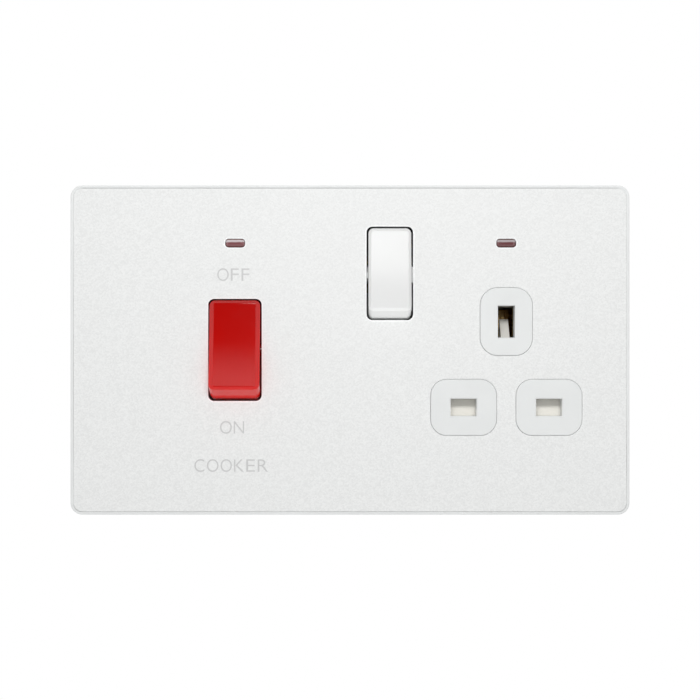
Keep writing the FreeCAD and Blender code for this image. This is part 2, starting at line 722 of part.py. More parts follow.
def rocker(x, pivot_y, pivot_z, width, sizes, stub_r, guides):
    """Hollow rocker with a dished face, pivot stubs and guide tubes for its plungers."""
    face_r, face_angle, brow_r, brow_angle, skirt_r, throw, back_depth = sizes
    section, face_z, floor_depth = rocker_section(pivot_y, pivot_z, sizes)
    body = section.extrude(vec(width, 0, 0))
    body.translate(vec(x - width / 2, 0, 0))
    body = body.makeFillet(ROCKER_CORNER_R, end_edges(body, x, width, pivot_y))
    face_edge_y = pivot_y - face_r * math.cos(math.radians(face_angle))
    rim = [edge for edge in body.Edges if edge.BoundBox.YMax < face_edge_y + ROCKER_EDGE / 2]
    body = body.makeChamfer(ROCKER_EDGE, rim)
    hollow_half = face_z - ROCKER_WALL
    hollow_front = hollow_half - HOLLOW_TAPER
    ceiling_y = pivot_y - floor_depth + ROCKER_WALL
    back_y = pivot_y + back_depth
    inner = width / 2 - ROCKER_WALL
    hollow = side_polygon(
        [(ceiling_y, pivot_z - hollow_front), (ceiling_y, pivot_z + hollow_front),
         (back_y + 1, pivot_z + hollow_half), (back_y + 1, pivot_z - hollow_half)], x - inner, x + inner)
    body = body.cut(hollow)
    stub_reach = width / 2 + STUB_ENGAGEMENT
    stubs = rod("x", (pivot_y, pivot_z), x - stub_reach, x + stub_reach, stub_r)
    stubs = stubs.cut(box(x - inner, x + inner, -THROUGH, THROUGH, -THROUGH, THROUGH))
    tubes = []
    bores = []
    for offset in guides:
        place = (x + offset, pivot_z)
        tubes.append(rod("y", place, ceiling_y - TOUCH, pivot_y + GUIDE_REACH, GUIDE_R))
        seat = ceiling_y + SPRING_SEAT_DEPTH
        bores.append(rod("y", place, seat, pivot_y + GUIDE_REACH + 1, GUIDE_BORE_R))
    body = without(joined([body, stubs] + tubes), bores)
    return turned_x(body, pivot_y, pivot_z, -throw / 2)


def plunger(x, pivot_y, pivot_z, throw):
    """Cone-nosed plunger that slides in a rocker's guide tube."""
    start = pivot_y + PLUNGER_START
    nose = pivot_y + PLUNGER_REACH
    body = rod("y", (x, pivot_z), start, nose, PLUNGER_R)
    body = body.makeChamfer(PLUNGER_NOSE, edges_at_y(body, nose))
    return turned_x(body, pivot_y, pivot_z, -throw / 2)


def plunger_spring(x, pivot_y, pivot_z, ceiling_y, throw):
    """Coil spring between the rocker and its plunger."""
    start = ceiling_y + SPRING_SEAT_DEPTH
    length = pivot_y + PLUNGER_START - start
    spring = helix_spring(SPRING_MEAN_R, SPRING_WIRE_R, length, SPRING_TURNS)
    spring.rotate(vec(0, 0, 0), AXES["x"], -90)
    spring.translate(vec(x, start, pivot_z))
    return turned_x(spring, pivot_y, pivot_z, -throw / 2)


def rocker_ceiling(pivot_y, sizes):
    """Depth of the inner face of a rocker's front wall."""
    face_r, face_angle, brow_r, brow_angle, skirt_r, throw, back_depth = sizes
    face_z, face_depth = polar(face_r, face_angle, 1)
    return pivot_y - face_depth + dish_depth(face_z, throw) + ROCKER_WALL


COOKER_SIZES = (COOKER_FACE_R, COOKER_FACE_ANGLE, COOKER_BROW_R, COOKER_BROW_ANGLE, COOKER_SKIRT_R,
                COOKER_THROW, COOKER_BACK_DEPTH)
SOCKET_SIZES = (SOCKET_FACE_R, SOCKET_FACE_ANGLE, SOCKET_BROW_R, SOCKET_BROW_ANGLE, SOCKET_SKIRT_R,
                SOCKET_THROW, SOCKET_BACK_DEPTH)
COOKER_POLES = (-COOKER_POLE_PITCH / 2, COOKER_POLE_PITCH / 2)
COOKER_STRIP_Y = COOKER_PIVOT_Y + PLUNGER_REACH + PLUNGER_GAP
SOCKET_STRIP_Y = SOCKET_PIVOT_Y + PLUNGER_REACH + PLUNGER_GAP


def knuckle_y(strip_front_y):
    """Depth of a see-saw contact's pivot line."""
    return strip_front_y + STRIP_THICKNESS + SADDLE_DEPTH


def seesaw_contact(x, z, strip_front_y, throw):
    """Moving contact: a strip with a saddle on its pivot and a contact button at its upper end."""
    pivot_y = knuckle_y(strip_front_y)
    half = STRIP_WIDTH / 2
    strip_back = strip_front_y + STRIP_THICKNESS
    strip = box(x - half, x + half, strip_front_y, strip_back, z - STRIP_HALF_LENGTH, z + STRIP_HALF_LENGTH)
    strip = strip.makeFillet(STRIP_CORNER_R, edges_along(strip, "y"))
    saddle = box(x - half, x + half, strip_back - TOUCH, pivot_y, z - SADDLE_HALF, z + SADDLE_HALF)
    groove = rod("x", (pivot_y, z), x - half - 1, x + half + 1, PIVOT_TIP_R + PIVOT_CLEARANCE)
    button = rod("y", (x, z + BUTTON_Z), strip_back - TOUCH, strip_back + BUTTON_HEIGHT, BUTTON_R)
    contact = joined([strip, saddle, button]).cut(groove)
    return turned_x(contact, pivot_y, z, throw / 2)


def fixed_button_front(strip_front_y, throw):
    """Depth at which the moving button stops when the switch is on."""
    pivot_y = knuckle_y(strip_front_y)
    angle = math.radians(throw / 2)
    lever = strip_front_y + STRIP_THICKNESS + BUTTON_HEIGHT - pivot_y
    reach = (BUTTON_Z + BUTTON_R) * math.sin(angle) + lever * math.cos(angle)
    return pivot_y + reach + CONTACT_GAP


def terminal_block(x, z0, z1):
    """Tunnel terminal: a block with a cable bore and two tapped holes for its screws."""
    half = TERMINAL_WIDTH / 2
    block = box(x - half, x + half, TERMINAL_FRONT_Y, TERMINAL_BACK_Y, z0, z1)
    block = block.makeChamfer(TERMINAL_CHAMFER, edges_along(block, "z"))
    bore = rod("z", (x, TERMINAL_AXIS_Y), z0 - 1, z1 + 1, TERMINAL_BORE_R)
    taps = [rod("y", (x, z), TERMINAL_AXIS_Y, TERMINAL_BACK_Y + 1, TERMINAL_SCREW_R + TAP_PLAY)
            for z in terminal_screw_heights(z0, z1)]
    return without(block, [bore] + taps)


def terminal_screw_heights(z0, z1):
    middle = (z0 + z1) / 2
    return middle - TERMINAL_SCREW_PITCH / 2, middle + TERMINAL_SCREW_PITCH / 2


def terminal_places():
    """Centre and height range of each cooker terminal: name, x, pole x, low z, high z."""
    low = TERMINAL_LOW_Z
    top = low + TERMINAL_LENGTH
    places = []
    for name, side in (("live", -1), ("neutral", 1)):
        x = COOKER_X + side * TERMINAL_OFFSET_X
        pole_x = COOKER_X + side * COOKER_POLE_PITCH / 2
        places.append(("supply_" + name, x, pole_x, low, top))
        places.append(("load_" + name, x, pole_x, -top, -low))
    return places


def supply_terminal(x, pole_x, z0, z1):
    """Fixed contact of one cooker pole: terminal, arm and contact button."""
    half = STRIP_WIDTH / 2
    block = terminal_block(x, z0, z1)
    button_front = fixed_button_front(COOKER_STRIP_Y, CONTACT_THROW)
    left = min(x - TERMINAL_WIDTH / 2, pole_x - half)
    right = max(x + TERMINAL_WIDTH / 2, pole_x + half)
    shoulder = box(left, right, ARM_FRONT_Y, SHOULDER_BACK_Y, z0 - SHOULDER_HEIGHT, z0 + TOUCH)
    arm = box(pole_x - half, pole_x + half, ARM_FRONT_Y, ARM_BACK_Y, BUTTON_Z - BUTTON_R - ARM_END, z0)
    button = rod("y", (pole_x, BUTTON_Z), button_front, ARM_FRONT_Y + TOUCH, BUTTON_R)
    return joined([block, shoulder, arm, button])


def load_terminal(x, pole_x, z0, z1):
    """Pivot side of one cooker pole: terminal, arm and the upstand that the see-saw rocks on."""
    half = STRIP_WIDTH / 2
    block = terminal_block(x, z0, z1)
    pivot_y = knuckle_y(COOKER_STRIP_Y)
    left = min(x - TERMINAL_WIDTH / 2, pole_x - half)
    right = max(x + TERMINAL_WIDTH / 2, pole_x + half)
    shoulder = box(left, right, ARM_FRONT_Y, SHOULDER_BACK_Y, z1 - TOUCH, z1 + SHOULDER_HEIGHT)
    arm = box(pole_x - half, pole_x + half, ARM_FRONT_Y, ARM_BACK_Y, z1, PIVOT_TIP_R)
    upstand = box(pole_x - half, pole_x + half, pivot_y, ARM_FRONT_Y + TOUCH, -PIVOT_TIP_R, PIVOT_TIP_R)
    tip = rod("x", (pivot_y, 0), pole_x - half, pole_x + half, PIVOT_TIP_R)
    return joined([block, shoulder, arm, upstand, tip])


def slotted_screw(x, z, seat_y, head_r, head_height, shank_r, tip_y):
    """Slotted cheese-head screw driven from behind, its head towards the wall."""
    head = rod("y", (x, z), seat_y, seat_y + head_height, head_r)
    slot = box(x - head_r, x + head_r, seat_y + head_height - SCREW_SLOT_DEPTH, seat_y + head_height + 1,
               z - SCREW_SLOT_WIDTH / 2, z + SCREW_SLOT_WIDTH / 2)
    return joined([head.cut(slot), rod("y", (x, z), tip_y, seat_y + TOUCH, shank_r)])


def terminal_screws(places):
    """The clamping screws of some terminals, backed off so that the bores are free."""
    screws = []
    for name, x, pole_x, z0, z1 in places:
        for z in terminal_screw_heights(z0, z1):
            tip = TERMINAL_AXIS_Y + TERMINAL_BORE_R + SCREW_LIFT
            screws.append(slotted_screw(x, z, TERMINAL_BACK_Y, TERMINAL_HEAD_R, TERMINAL_HEAD_HEIGHT,
                                        TERMINAL_SCREW_R, tip))
    return Part.makeCompound(screws)


def well(x, z, opening_w, opening_h, pivot_y, stub_r, ear_sides):
    """Walls round a rocker, with its pivot holes; returns what to add and what to cut."""
    inner_w = opening_w + 2 * WELL_SIDE_CLEARANCE
    inner_h = opening_h + 2 * WELL_END_CLEARANCE
    outer_w = inner_w + 2 * WELL_WALL
    outer_h = inner_h + 2 * WELL_WALL
    outer = rounded_block(x, z, outer_w, outer_h, OPENING_R + WELL_WALL, WEB_FRONT_Y, WELL_BACK_Y)
    pocket = rounded_block(x, z, inner_w, inner_h, OPENING_R, WEB_FRONT_Y - 1, WELL_BACK_Y + 1)
    hole = rod("x", (pivot_y, z), x - outer_w / 2 - 1, x + outer_w / 2 + 1, stub_r + STUB_CLEARANCE)
    ears = []
    for side in ear_sides:
        start = x + side * inner_w / 2
        ends = sorted((start - side * EAR_HEIGHT, start + side * TOUCH))
        ears.append(rod("x", (pivot_y, z), ends[0], ends[1], EAR_R))
    return outer, pocket, hole, ears


def pilot_hole(x, z):
    """Hole for an assembly screw in a boss, closed by a thin skin at the front."""
    return rod("y", (x, z), WEB_BACK_Y + PILOT_SKIN, YOKE_BACK_Y + 1, ASSEMBLY_SCREW_R + PILOT_PLAY)


def cooker_front():
    """White moulding in front of the cooker switch: flange on the yoke and well for the rocker."""
    outer, pocket, hole, ears = well(COOKER_X, COOKER_Z, COOKER_OPENING_W, COOKER_OPENING_H, COOKER_PIVOT_Y,
                                     COOKER_STUB_R, (-1, 1))
    flange_w = 2 * (COOKER_SCREW_X + ASSEMBLY_BOSS_R + FLANGE_MARGIN_W)
    flange_h = COOKER_OPENING_H + 2 * FLANGE_MARGIN_H
    flange = rounded_block(COOKER_X, COOKER_Z, flange_w, flange_h, FLANGE_R, WEB_BACK_Y, FLANGE_BACK_Y)
    bosses = []
    taps = []
    for x, z in cooker_screw_places():
        bosses.append(rod("y", (x, z), FLANGE_BACK_Y - TOUCH, YOKE_BACK_Y, ASSEMBLY_BOSS_R))
        taps.append(pilot_hole(x, z))
    body = joined([outer, flange] + bosses).cut(pocket)
    return without(joined([body] + ears), [hole] + taps)


def cooker_screw_places():
    return [(COOKER_X + sx * COOKER_SCREW_X, sz * COOKER_SCREW_Z) for sx in (-1, 1) for sz in (-1, 1)]


def assembly_screws(places, back_y):
    """Self-tapping screws from behind a housing into the moulding in front of the yoke."""
    screws = []
    for x, z in places:
        seat = back_y - ASSEMBLY_HEAD_HEIGHT
        screws.append(slotted_screw(x, z, seat, ASSEMBLY_HEAD_R, ASSEMBLY_HEAD_HEIGHT, ASSEMBLY_SCREW_R,
                                    WEB_BACK_Y + ASSEMBLY_TIP_GAP))
    return Part.makeCompound(screws)


def screw_holes(places, back_y):
    """Clearance holes and counterbores for a housing's assembly screws."""
    holes = []
    seat = back_y - ASSEMBLY_HEAD_HEIGHT
    for x, z in places:
        holes.append(rod("y", (x, z), -THROUGH, THROUGH, ASSEMBLY_SCREW_R + ASSEMBLY_HOLE_PLAY))
        holes.append(rod("y", (x, z), seat, THROUGH, ASSEMBLY_HEAD_R + ASSEMBLY_SINK_PLAY))
    return holes


def terminal_pocket(x, z0, z1):
    """Room for one terminal in the cooker housing, open to the front, with its cable entry."""
    half = TERMINAL_WIDTH / 2 + POCKET_CLEARANCE
    pocket = box(x - half, x + half, YOKE_BACK_Y - 1, TERMINAL_BACK_Y, z0 - POCKET_CLEARANCE,
                 z1 + POCKET_CLEARANCE)
    ends = (z1, z1 + ENTRY_LENGTH) if z0 > 0 else (z0 - ENTRY_LENGTH, z0)
    entry = rod("z", (x, TERMINAL_AXIS_Y), *ends, ENTRY_R)
    drivers = [rod("y", (x, z), TERMINAL_BACK_Y - 1, THROUGH, TERMINAL_HEAD_R + DRIVER_PLAY)
               for z in terminal_screw_heights(z0, z1)]
    return [pocket, entry] + drivers


def arm_pocket(x, pole_x, z0, z1):
    """Room for a terminal's arm behind the see-saw contacts."""
    half = STRIP_WIDTH / 2 + POCKET_CLEARANCE
    reach = SHOULDER_HEIGHT + SHOULDER_ROOM
    left = min(x - TERMINAL_WIDTH / 2, pole_x - half)
    right = max(x + TERMINAL_WIDTH / 2, pole_x + half)
    if z0 > 0:
        return box(left, right, YOKE_BACK_Y - 1, SHOULDER_BACK_Y, z0 - reach, z0 + TOUCH)
    return box(left, right, YOKE_BACK_Y - 1, SHOULDER_BACK_Y, z1 - TOUCH, z1 + reach)


def lamp_pocket(x):
    half_w = LAMP_LENGTH / 2 + LAMP_POCKET_CLEARANCE
    half_h = LAMP_R + LAMP_POCKET_CLEARANCE
    back = RESISTOR_AXIS_Y + RESISTOR_R + LAMP_POCKET_CLEARANCE
    return box(x - half_w, x + half_w, YOKE_BACK_Y - 1, back, NEON_Z - half_h, NEON_Z + half_h)


def contact_cavity(x, z, width, well_outer_w, well_outer_h):
    """Space for a rocker's well and the see-saw contacts behind it."""
    reach = STRIP_HALF_LENGTH + CAVITY_CLEARANCE
    well_w = well_outer_w + 2 * POCKET_CLEARANCE
    well_h = well_outer_h + 2 * POCKET_CLEARANCE
    return [
        box(x - well_w / 2, x + well_w / 2, YOKE_BACK_Y - 1, WELL_BACK_Y, z - well_h / 2, z + well_h / 2),
        box(x - width / 2, x + width / 2, YOKE_BACK_Y - 1, ARM_BACK_Y, z - reach, z + reach),
    ]


def well_outer(opening_w, opening_h):
    outer_w = opening_w + 2 * (WELL_SIDE_CLEARANCE + WELL_WALL)
    outer_h = opening_h + 2 * (WELL_END_CLEARANCE + WELL_WALL)
    return outer_w, outer_h


def cooker_base():
    """Rear housing of the cooker switch, with pockets for its terminals and poles."""
    left = COOKER_X - COOKER_BASE_LEFT
    half_h = COOKER_BASE_HEIGHT / 2
    body = box(left, MODULE_JOINT_X, YOKE_BACK_Y, BASE_DEPTH, -half_h, half_h)
    body = body.makeFillet(BASE_CORNER_R, edges_along(body, "y"))
    body = body.makeChamfer(BASE_EDGE, edges_at_y(body, BASE_DEPTH))
    outer_w, outer_h = well_outer(COOKER_OPENING_W, COOKER_OPENING_H)
    pole_room = COOKER_POLE_PITCH + STRIP_WIDTH + 2 * POLE_ROOM
    cutters = contact_cavity(COOKER_X, COOKER_Z, pole_room, outer_w, outer_h)
    for name, x, pole_x, z0, z1 in terminal_places():
        cutters += terminal_pocket(x, z0, z1)
        cutters.append(arm_pocket(x, pole_x, z0, z1))
        arm_half = STRIP_WIDTH / 2 + POCKET_CLEARANCE
        ends = sorted((0, z0 if z0 > 0 else z1))
        cutters.append(box(pole_x - arm_half, pole_x + arm_half, WELL_BACK_Y, ARM_BACK_Y, *ends))
    cutters.append(lamp_pocket(NEON_COOKER_X))
    cutters += screw_holes(cooker_screw_places(), BASE_DEPTH)
    cutters += [channel(strip) for strip in live_link_runs()[:2] + neutral_link_runs()[:1]]
    notch = FINGER_NOTCH_WIDTH / 2
    cutters.append(box(left - 1, left + BASE_FLOOR, YOKE_BACK_Y - 1, YOKE_BACK_Y + FINGER_NOTCH_DEPTH, -notch,
                       notch))
    body = without(body, cutters)
    barrier_back = ARM_BACK_Y + TOUCH
    barrier_front = COOKER_PIVOT_Y + GUIDE_REACH + BARRIER_GAP
    reach = STRIP_HALF_LENGTH + CAVITY_CLEARANCE + TOUCH
    half = BARRIER_THICKNESS / 2
    barrier = box(COOKER_X - half, COOKER_X + half, barrier_front, barrier_back, -reach, reach)
    return joined([body, barrier])


def channel(run):
    """Slot open to the front that a strip drops into."""
    x0, x1, y0, y1, z0, z1 = run
    gap = POCKET_CLEARANCE
    return box(x0 - gap, x1 + gap, YOKE_BACK_Y - 1, y1, z0 - gap, z1 + gap)


def live_link_runs():
    """The live link's flat runs: terminal tab, crossing bar and pivot upstand."""
    name, x, pole_x, z0, z1 = terminal_places()[0]
    inner = x + TERMINAL_WIDTH / 2
    y0 = LIVE_LINK_Y
    y1 = LIVE_LINK_Y + STRAP_THICKNESS
    half = STRIP_WIDTH / 2
    pivot_y = knuckle_y(SOCKET_STRIP_Y)
    tab = (inner, inner + LIVE_TAB_WIDTH, y0, y1, LIVE_LINK_Z, z0 + LIVE_TAB_LAP)
    left = SOCKET_SWITCH_X - half
    right = SOCKET_SWITCH_X + half
    top = SOCKET_SWITCH_Z + PIVOT_TIP_R
    bar = (inner, right, y0, y1, LIVE_LINK_Z, LIVE_LINK_Z + LINK_HEIGHT)
    foot = (left, right, y0, y1, LIVE_LINK_Z, top)
    upstand = (left, right, pivot_y, y1, SOCKET_SWITCH_Z - PIVOT_TIP_R, top)
    return [tab, bar, foot, upstand]


def live_link():
    """Brass link from the live supply terminal to the pivot of the socket's switch."""
    half = STRIP_WIDTH / 2
    pivot_y = knuckle_y(SOCKET_STRIP_Y)
    tip = rod("x", (pivot_y, SOCKET_SWITCH_Z), SOCKET_SWITCH_X - half, SOCKET_SWITCH_X + half, PIVOT_TIP_R)
    return joined([box(*run) for run in live_link_runs()] + [tip])


def pin_strip_levels():
    """Bottom and top of the strips that meet the line and neutral pin contacts."""
    return PIN_ROW_Z - LINK_HEIGHT / 2, PIN_ROW_Z + LINK_HEIGHT / 2


def neutral_link_runs():
    """The neutral link's flat runs: from the supply terminal across, down and forward to the contact."""
    name, x, pole_x, z0, z1 = terminal_places()[2]
    outer = x + TERMINAL_WIDTH / 2
    y0 = NEUTRAL_LINK_Y
    y1 = NEUTRAL_LINK_Y + STRAP_THICKNESS
    right = NEUTRAL_DROP_X + LINK_HEIGHT
    across = (outer, right, y0, y1, NEUTRAL_LINK_Z, NEUTRAL_LINK_Z + LINK_HEIGHT)
    low, high = pin_strip_levels()
    down = (NEUTRAL_DROP_X, right, y0, y1, low, NEUTRAL_LINK_Z + LINK_HEIGHT)
    forward = (right - STRAP_THICKNESS, right, JAW_BACK_Y, y1, low, high)
    pad_right = LINE_ISLAND_X[0] + NEUTRAL_PAD_REACH
    pad = (right - STRAP_THICKNESS, pad_right, JAW_BACK_Y, JAW_BACK_Y + STRAP_THICKNESS, low, high)
    return [across, down, forward, pad]


def neutral_link():
    """Brass link from the neutral supply terminal to the neutral pin contact."""
    return joined([box(*run) for run in neutral_link_runs()])


def jaw(x, z, width, front_y, back_y, upright):
    """Sprung clip of two flared leaves that grip a pin, bent from one strip."""
    grip = JAW_GRIP / 2
    outer = grip + LEAF_THICKNESS
    flare = grip + JAW_FLARE
    leaf = [
        (front_y, flare), (front_y + JAW_FLARE_LENGTH, grip), (back_y - LEAF_THICKNESS, grip),
        (back_y - LEAF_THICKNESS, -grip), (front_y + JAW_FLARE_LENGTH, -grip), (front_y, -flare),
        (front_y, -flare - LEAF_THICKNESS), (front_y + JAW_FLARE_LENGTH, -outer), (back_y, -outer),
        (back_y, outer), (front_y + JAW_FLARE_LENGTH, outer), (front_y, flare + LEAF_THICKNESS),
    ]
    if upright:
        return top_polygon([(x + across, y) for y, across in leaf], z - width / 2, z + width / 2)
    return side_polygon([(y, z + across) for y, across in leaf], x - width / 2, x + width / 2)


def live_socket_runs():
    """The live contact's strip: fixed contact pad, run across and riser down to the jaws."""
    pad_y = fixed_button_front(SOCKET_STRIP_Y, SOCKET_CONTACT_THROW) + FIXED_BUTTON_HEIGHT
    y1 = pad_y + STRAP_THICKNESS
    low = LIVE_RISER_TOP_Z - LINK_HEIGHT
    right = LIVE_RISER_X + LINK_HEIGHT
    half = STRIP_WIDTH / 2
    across = (SOCKET_SWITCH_X - half, right, pad_y, y1, low, LIVE_RISER_TOP_Z)
    riser = (LIVE_RISER_X, right, pad_y, y1, pin_strip_levels()[0], LIVE_RISER_TOP_Z)
    return [across, riser]


def live_socket_contact():
    """Live pin contact, its riser and the fixed button of the socket's switch, in one strip."""
    runs = live_socket_runs()
    pad_y = runs[0][2]
    clip = jaw(LINE_ISLAND_X[1], PIN_ROW_Z, JAW_WIDTH, JAW_FRONT_Y, JAW_BACK_Y, False)
    button_front = fixed_button_front(SOCKET_STRIP_Y, SOCKET_CONTACT_THROW)
    button_z = SOCKET_SWITCH_Z + BUTTON_Z - FIXED_BUTTON_DROP
    button = rod("y", (SOCKET_SWITCH_X, button_z), button_front, pad_y + TOUCH, FIXED_BUTTON_R)
    bridge = box(LIVE_RISER_X, LIVE_RISER_X + LINK_HEIGHT, min(pad_y, JAW_BACK_Y - LEAF_THICKNESS),
                 max(pad_y + STRAP_THICKNESS, JAW_BACK_Y), *pin_strip_levels())
    return joined([clip, bridge, button] + [box(*run) for run in runs])


def neutral_socket_contact():
    return jaw(LINE_ISLAND_X[0], PIN_ROW_Z, JAW_WIDTH, JAW_FRONT_Y, JAW_BACK_Y, False)


def earth_socket_contact():
    """Earth pin contact with a tail through the housing's floor."""
    clip = jaw(SOCKET_X, EARTH_Z, EARTH_JAW_WIDTH, EARTH_JAW_FRONT_Y, EARTH_JAW_BACK_Y, True)
    half = EARTH_TAIL_WIDTH / 2
    low = EARTH_Z - EARTH_TAIL_DROP
    tail = box(SOCKET_X - half, SOCKET_X + half, EARTH_JAW_BACK_Y - TOUCH, SOCKET_BASE_BACK_Y, low,
               low + STRAP_THICKNESS)
    return joined([clip, tail])


def earth_strap():
    """Earth strap outside the housing, from the earth contact's tail to the earth terminal."""
    back = SOCKET_BASE_BACK_Y
    outer = back + STRAP_THICKNESS
    z0 = STRAP_Z - STRAP_WIDTH / 2
    z1 = STRAP_Z + STRAP_WIDTH / 2
    block_back = YOKE_BACK_Y + EARTH_BLOCK_D
    bend = STRAP_BEND_X
    across = box(bend, SOCKET_X + STRAP_LUG_HALF, back, outer, z0, z1)
    lug_top = EARTH_Z - EARTH_TAIL_DROP + STRAP_THICKNESS + STRAP_LUG_RISE
    lug = box(SOCKET_X - STRAP_LUG_HALF, SOCKET_X + STRAP_LUG_HALF, back, outer, z0, lug_top)
    forward = box(bend, bend + STRAP_THICKNESS, block_back, outer, z0, z1)
    left = box(EARTH_BLOCK_X - STRAP_WIDTH / 2, bend + STRAP_THICKNESS, block_back,
               block_back + STRAP_THICKNESS, z0, z1)
    clamp_z = earth_screw_heights()[1]
    down = box(EARTH_BLOCK_X - STRAP_WIDTH / 2, EARTH_BLOCK_X + STRAP_WIDTH / 2, block_back,
               block_back + STRAP_THICKNESS, clamp_z, z1)
    eye = rod("y", (EARTH_BLOCK_X, clamp_z), block_back, block_back + STRAP_THICKNESS, STRAP_EYE_R)
    hole = rod("y", (EARTH_BLOCK_X, clamp_z), -THROUGH, THROUGH, TERMINAL_SCREW_R + EYE_PLAY)
    return joined([across, lug, forward, left, down, eye]).cut(hole)


def earth_screw_heights():
    return EARTH_BLOCK_Z - EARTH_SCREW_PITCH / 2, EARTH_BLOCK_Z + EARTH_SCREW_PITCH / 2


def earth_terminal():
    """Earth block on the back of the yoke, with its cable bore and tapped holes."""
    half_w = EARTH_BLOCK_W / 2
    half_h = EARTH_BLOCK_H / 2
    back = YOKE_BACK_Y + EARTH_BLOCK_D
    block = box(EARTH_BLOCK_X - half_w, EARTH_BLOCK_X + half_w, YOKE_BACK_Y, back, EARTH_BLOCK_Z - half_h,
                EARTH_BLOCK_Z + half_h)
    block = block.makeChamfer(TERMINAL_CHAMFER, edges_along(block, "z"))
    middle = YOKE_BACK_Y + EARTH_BLOCK_D / 2
    bore = rod("z", (EARTH_BLOCK_X, middle), EARTH_BLOCK_Z - half_h - 1, EARTH_BLOCK_Z + half_h + 1,
               EARTH_BORE_R)
    taps = [rod("y", (EARTH_BLOCK_X, z), middle, back + 1, TERMINAL_SCREW_R + TAP_PLAY)
            for z in earth_screw_heights()]
    return without(block, [bore] + taps)


def earth_terminal_screws():
    back = YOKE_BACK_Y + EARTH_BLOCK_D
    tip = YOKE_BACK_Y + EARTH_BLOCK_D / 2 + EARTH_BORE_R + SCREW_LIFT
    screws = []
    for z, seat in zip(earth_screw_heights(), (back, back + STRAP_THICKNESS)):
        screws.append(slotted_screw(EARTH_BLOCK_X, z, seat, EARTH_HEAD_R, TERMINAL_HEAD_HEIGHT,
                                    TERMINAL_SCREW_R, tip))
    return Part.makeCompound(screws)


def plate_earth_spring():
    """Bent leaf on the yoke that presses on the back of the metal plate to earth it."""
    half = TAG_WIDTH / 2
    back = FLANGE_BACK_Y
    front = back - TAG_THICKNESS
    crest_back = WEB_FRONT_Y + TAG_THICKNESS
    lead = WEB_FRONT_Y + TAG_LEAD
    profile = [
        (back, TAG_Z + TAG_ROOT_TOP - TAG_ROOT_LENGTH), (back, TAG_Z + TAG_ROOT_TOP),
        (crest_back, TAG_Z + TAG_CREST_LOW), (crest_back, TAG_Z + TAG_CREST_HIGH),
        (lead + TAG_THICKNESS, TAG_Z + TAG_TIP), (lead, TAG_Z + TAG_TIP),
        (WEB_FRONT_Y, TAG_Z + TAG_CREST_HIGH), (WEB_FRONT_Y, TAG_Z + TAG_CREST_LOW),
        (front, TAG_Z + TAG_ROOT_TOP),
        (front, TAG_Z + TAG_ROOT_TOP - TAG_ROOT_LENGTH),
    ]
    leaf = side_polygon(profile, TAG_X - half, TAG_X + half)
    rivet = rod("y", (TAG_X, TAG_Z - RIVET_DROP), front - RIVET_HEIGHT, front + TOUCH, RIVET_R)
    return joined([leaf, rivet])


def socket_base_points():
    """Outline of the socket's rear housing."""
    return [
        (MODULE_JOINT_X, SOCKET_BASE_STEP_Z), (SOCKET_BASE_FOOT_LEFT, SOCKET_BASE_STEP_Z),
        (SOCKET_BASE_FOOT_LEFT, SOCKET_BASE_BOTTOM), (SOCKET_BASE_FOOT_RIGHT, SOCKET_BASE_BOTTOM),
        (SOCKET_BASE_FOOT_RIGHT, SOCKET_BASE_FOOT_TOP), (SOCKET_BASE_RIGHT, SOCKET_BASE_FOOT_TOP),
        (SOCKET_BASE_RIGHT, SOCKET_BASE_TOP), (MODULE_JOINT_X, SOCKET_BASE_TOP),
    ]


def socket_front_points():
    """Outline of the socket's front moulding where it lies on the yoke."""
    edge = FRONT_OVERHANG
    left = MODULE_JOINT_X + FRONT_INSET
    return [
        (left, SOCKET_BASE_STEP_Z - edge), (SOCKET_BASE_FOOT_LEFT - edge, SOCKET_BASE_STEP_Z - edge),
        (SOCKET_BASE_FOOT_LEFT - edge, SOCKET_BASE_BOTTOM - edge),
        (SOCKET_BASE_FOOT_RIGHT + 2 * edge, SOCKET_BASE_BOTTOM - edge),
        (SOCKET_BASE_FOOT_RIGHT + 2 * edge, SOCKET_BASE_FOOT_TOP + edge),
        (SOCKET_BASE_RIGHT, SOCKET_BASE_FOOT_TOP + edge),
        (SOCKET_BASE_RIGHT, SOCKET_BASE_TOP + edge), (left, SOCKET_BASE_TOP + edge),
    ]


def island_solid(pad):
    """One island, from the flange through the plate."""
    x, z, width, height, radius = pad
    body = rounded_block(x, z, width, height, radius, ISLAND_FACE_Y, FLANGE_BACK_Y)
    return body.makeChamfer(ISLAND_EDGE, edges_at_y(body, ISLAND_FACE_Y))


def slot_guide(slot):
    """Collar round one aperture behind the flange, reaching the front of the shutter."""
    x, z, width, height = slot
    half_w = width / 2 + SLOT_GUIDE_WALL
    half_h = height / 2 + SLOT_GUIDE_WALL
    return box(x - half_w, x + half_w, FLANGE_BACK_Y - TOUCH, SLOT_BACK_Y, z - half_h, z + half_h)


def slot_cutter(slot):
    """Pin aperture with a small lead-in bevel at its mouth."""
    x, z, width, height = slot
    straight = box(x - width / 2, x + width / 2, ISLAND_FACE_Y - 1, SLOT_BACK_Y + 1, z - height / 2,
                   z + height / 2)
    half_w = width / 2 + SLOT_CHAMFER
    half_h = height / 2 + SLOT_CHAMFER
    mouth = []
    for shrink, y in ((0.0, ISLAND_FACE_Y - TOUCH), (SLOT_CHAMFER, ISLAND_FACE_Y + SLOT_CHAMFER)):
        corners = [
            vec(x - half_w + shrink, y, z - half_h + shrink), vec(x + half_w - shrink, y, z - half_h + shrink),
            vec(x + half_w - shrink, y, z + half_h - shrink), vec(x - half_w + shrink, y, z + half_h - shrink),
        ]
        mouth.append(Part.makePolygon(corners + corners[:1]))
    return joined([straight, Part.makeLoft(mouth, True)])


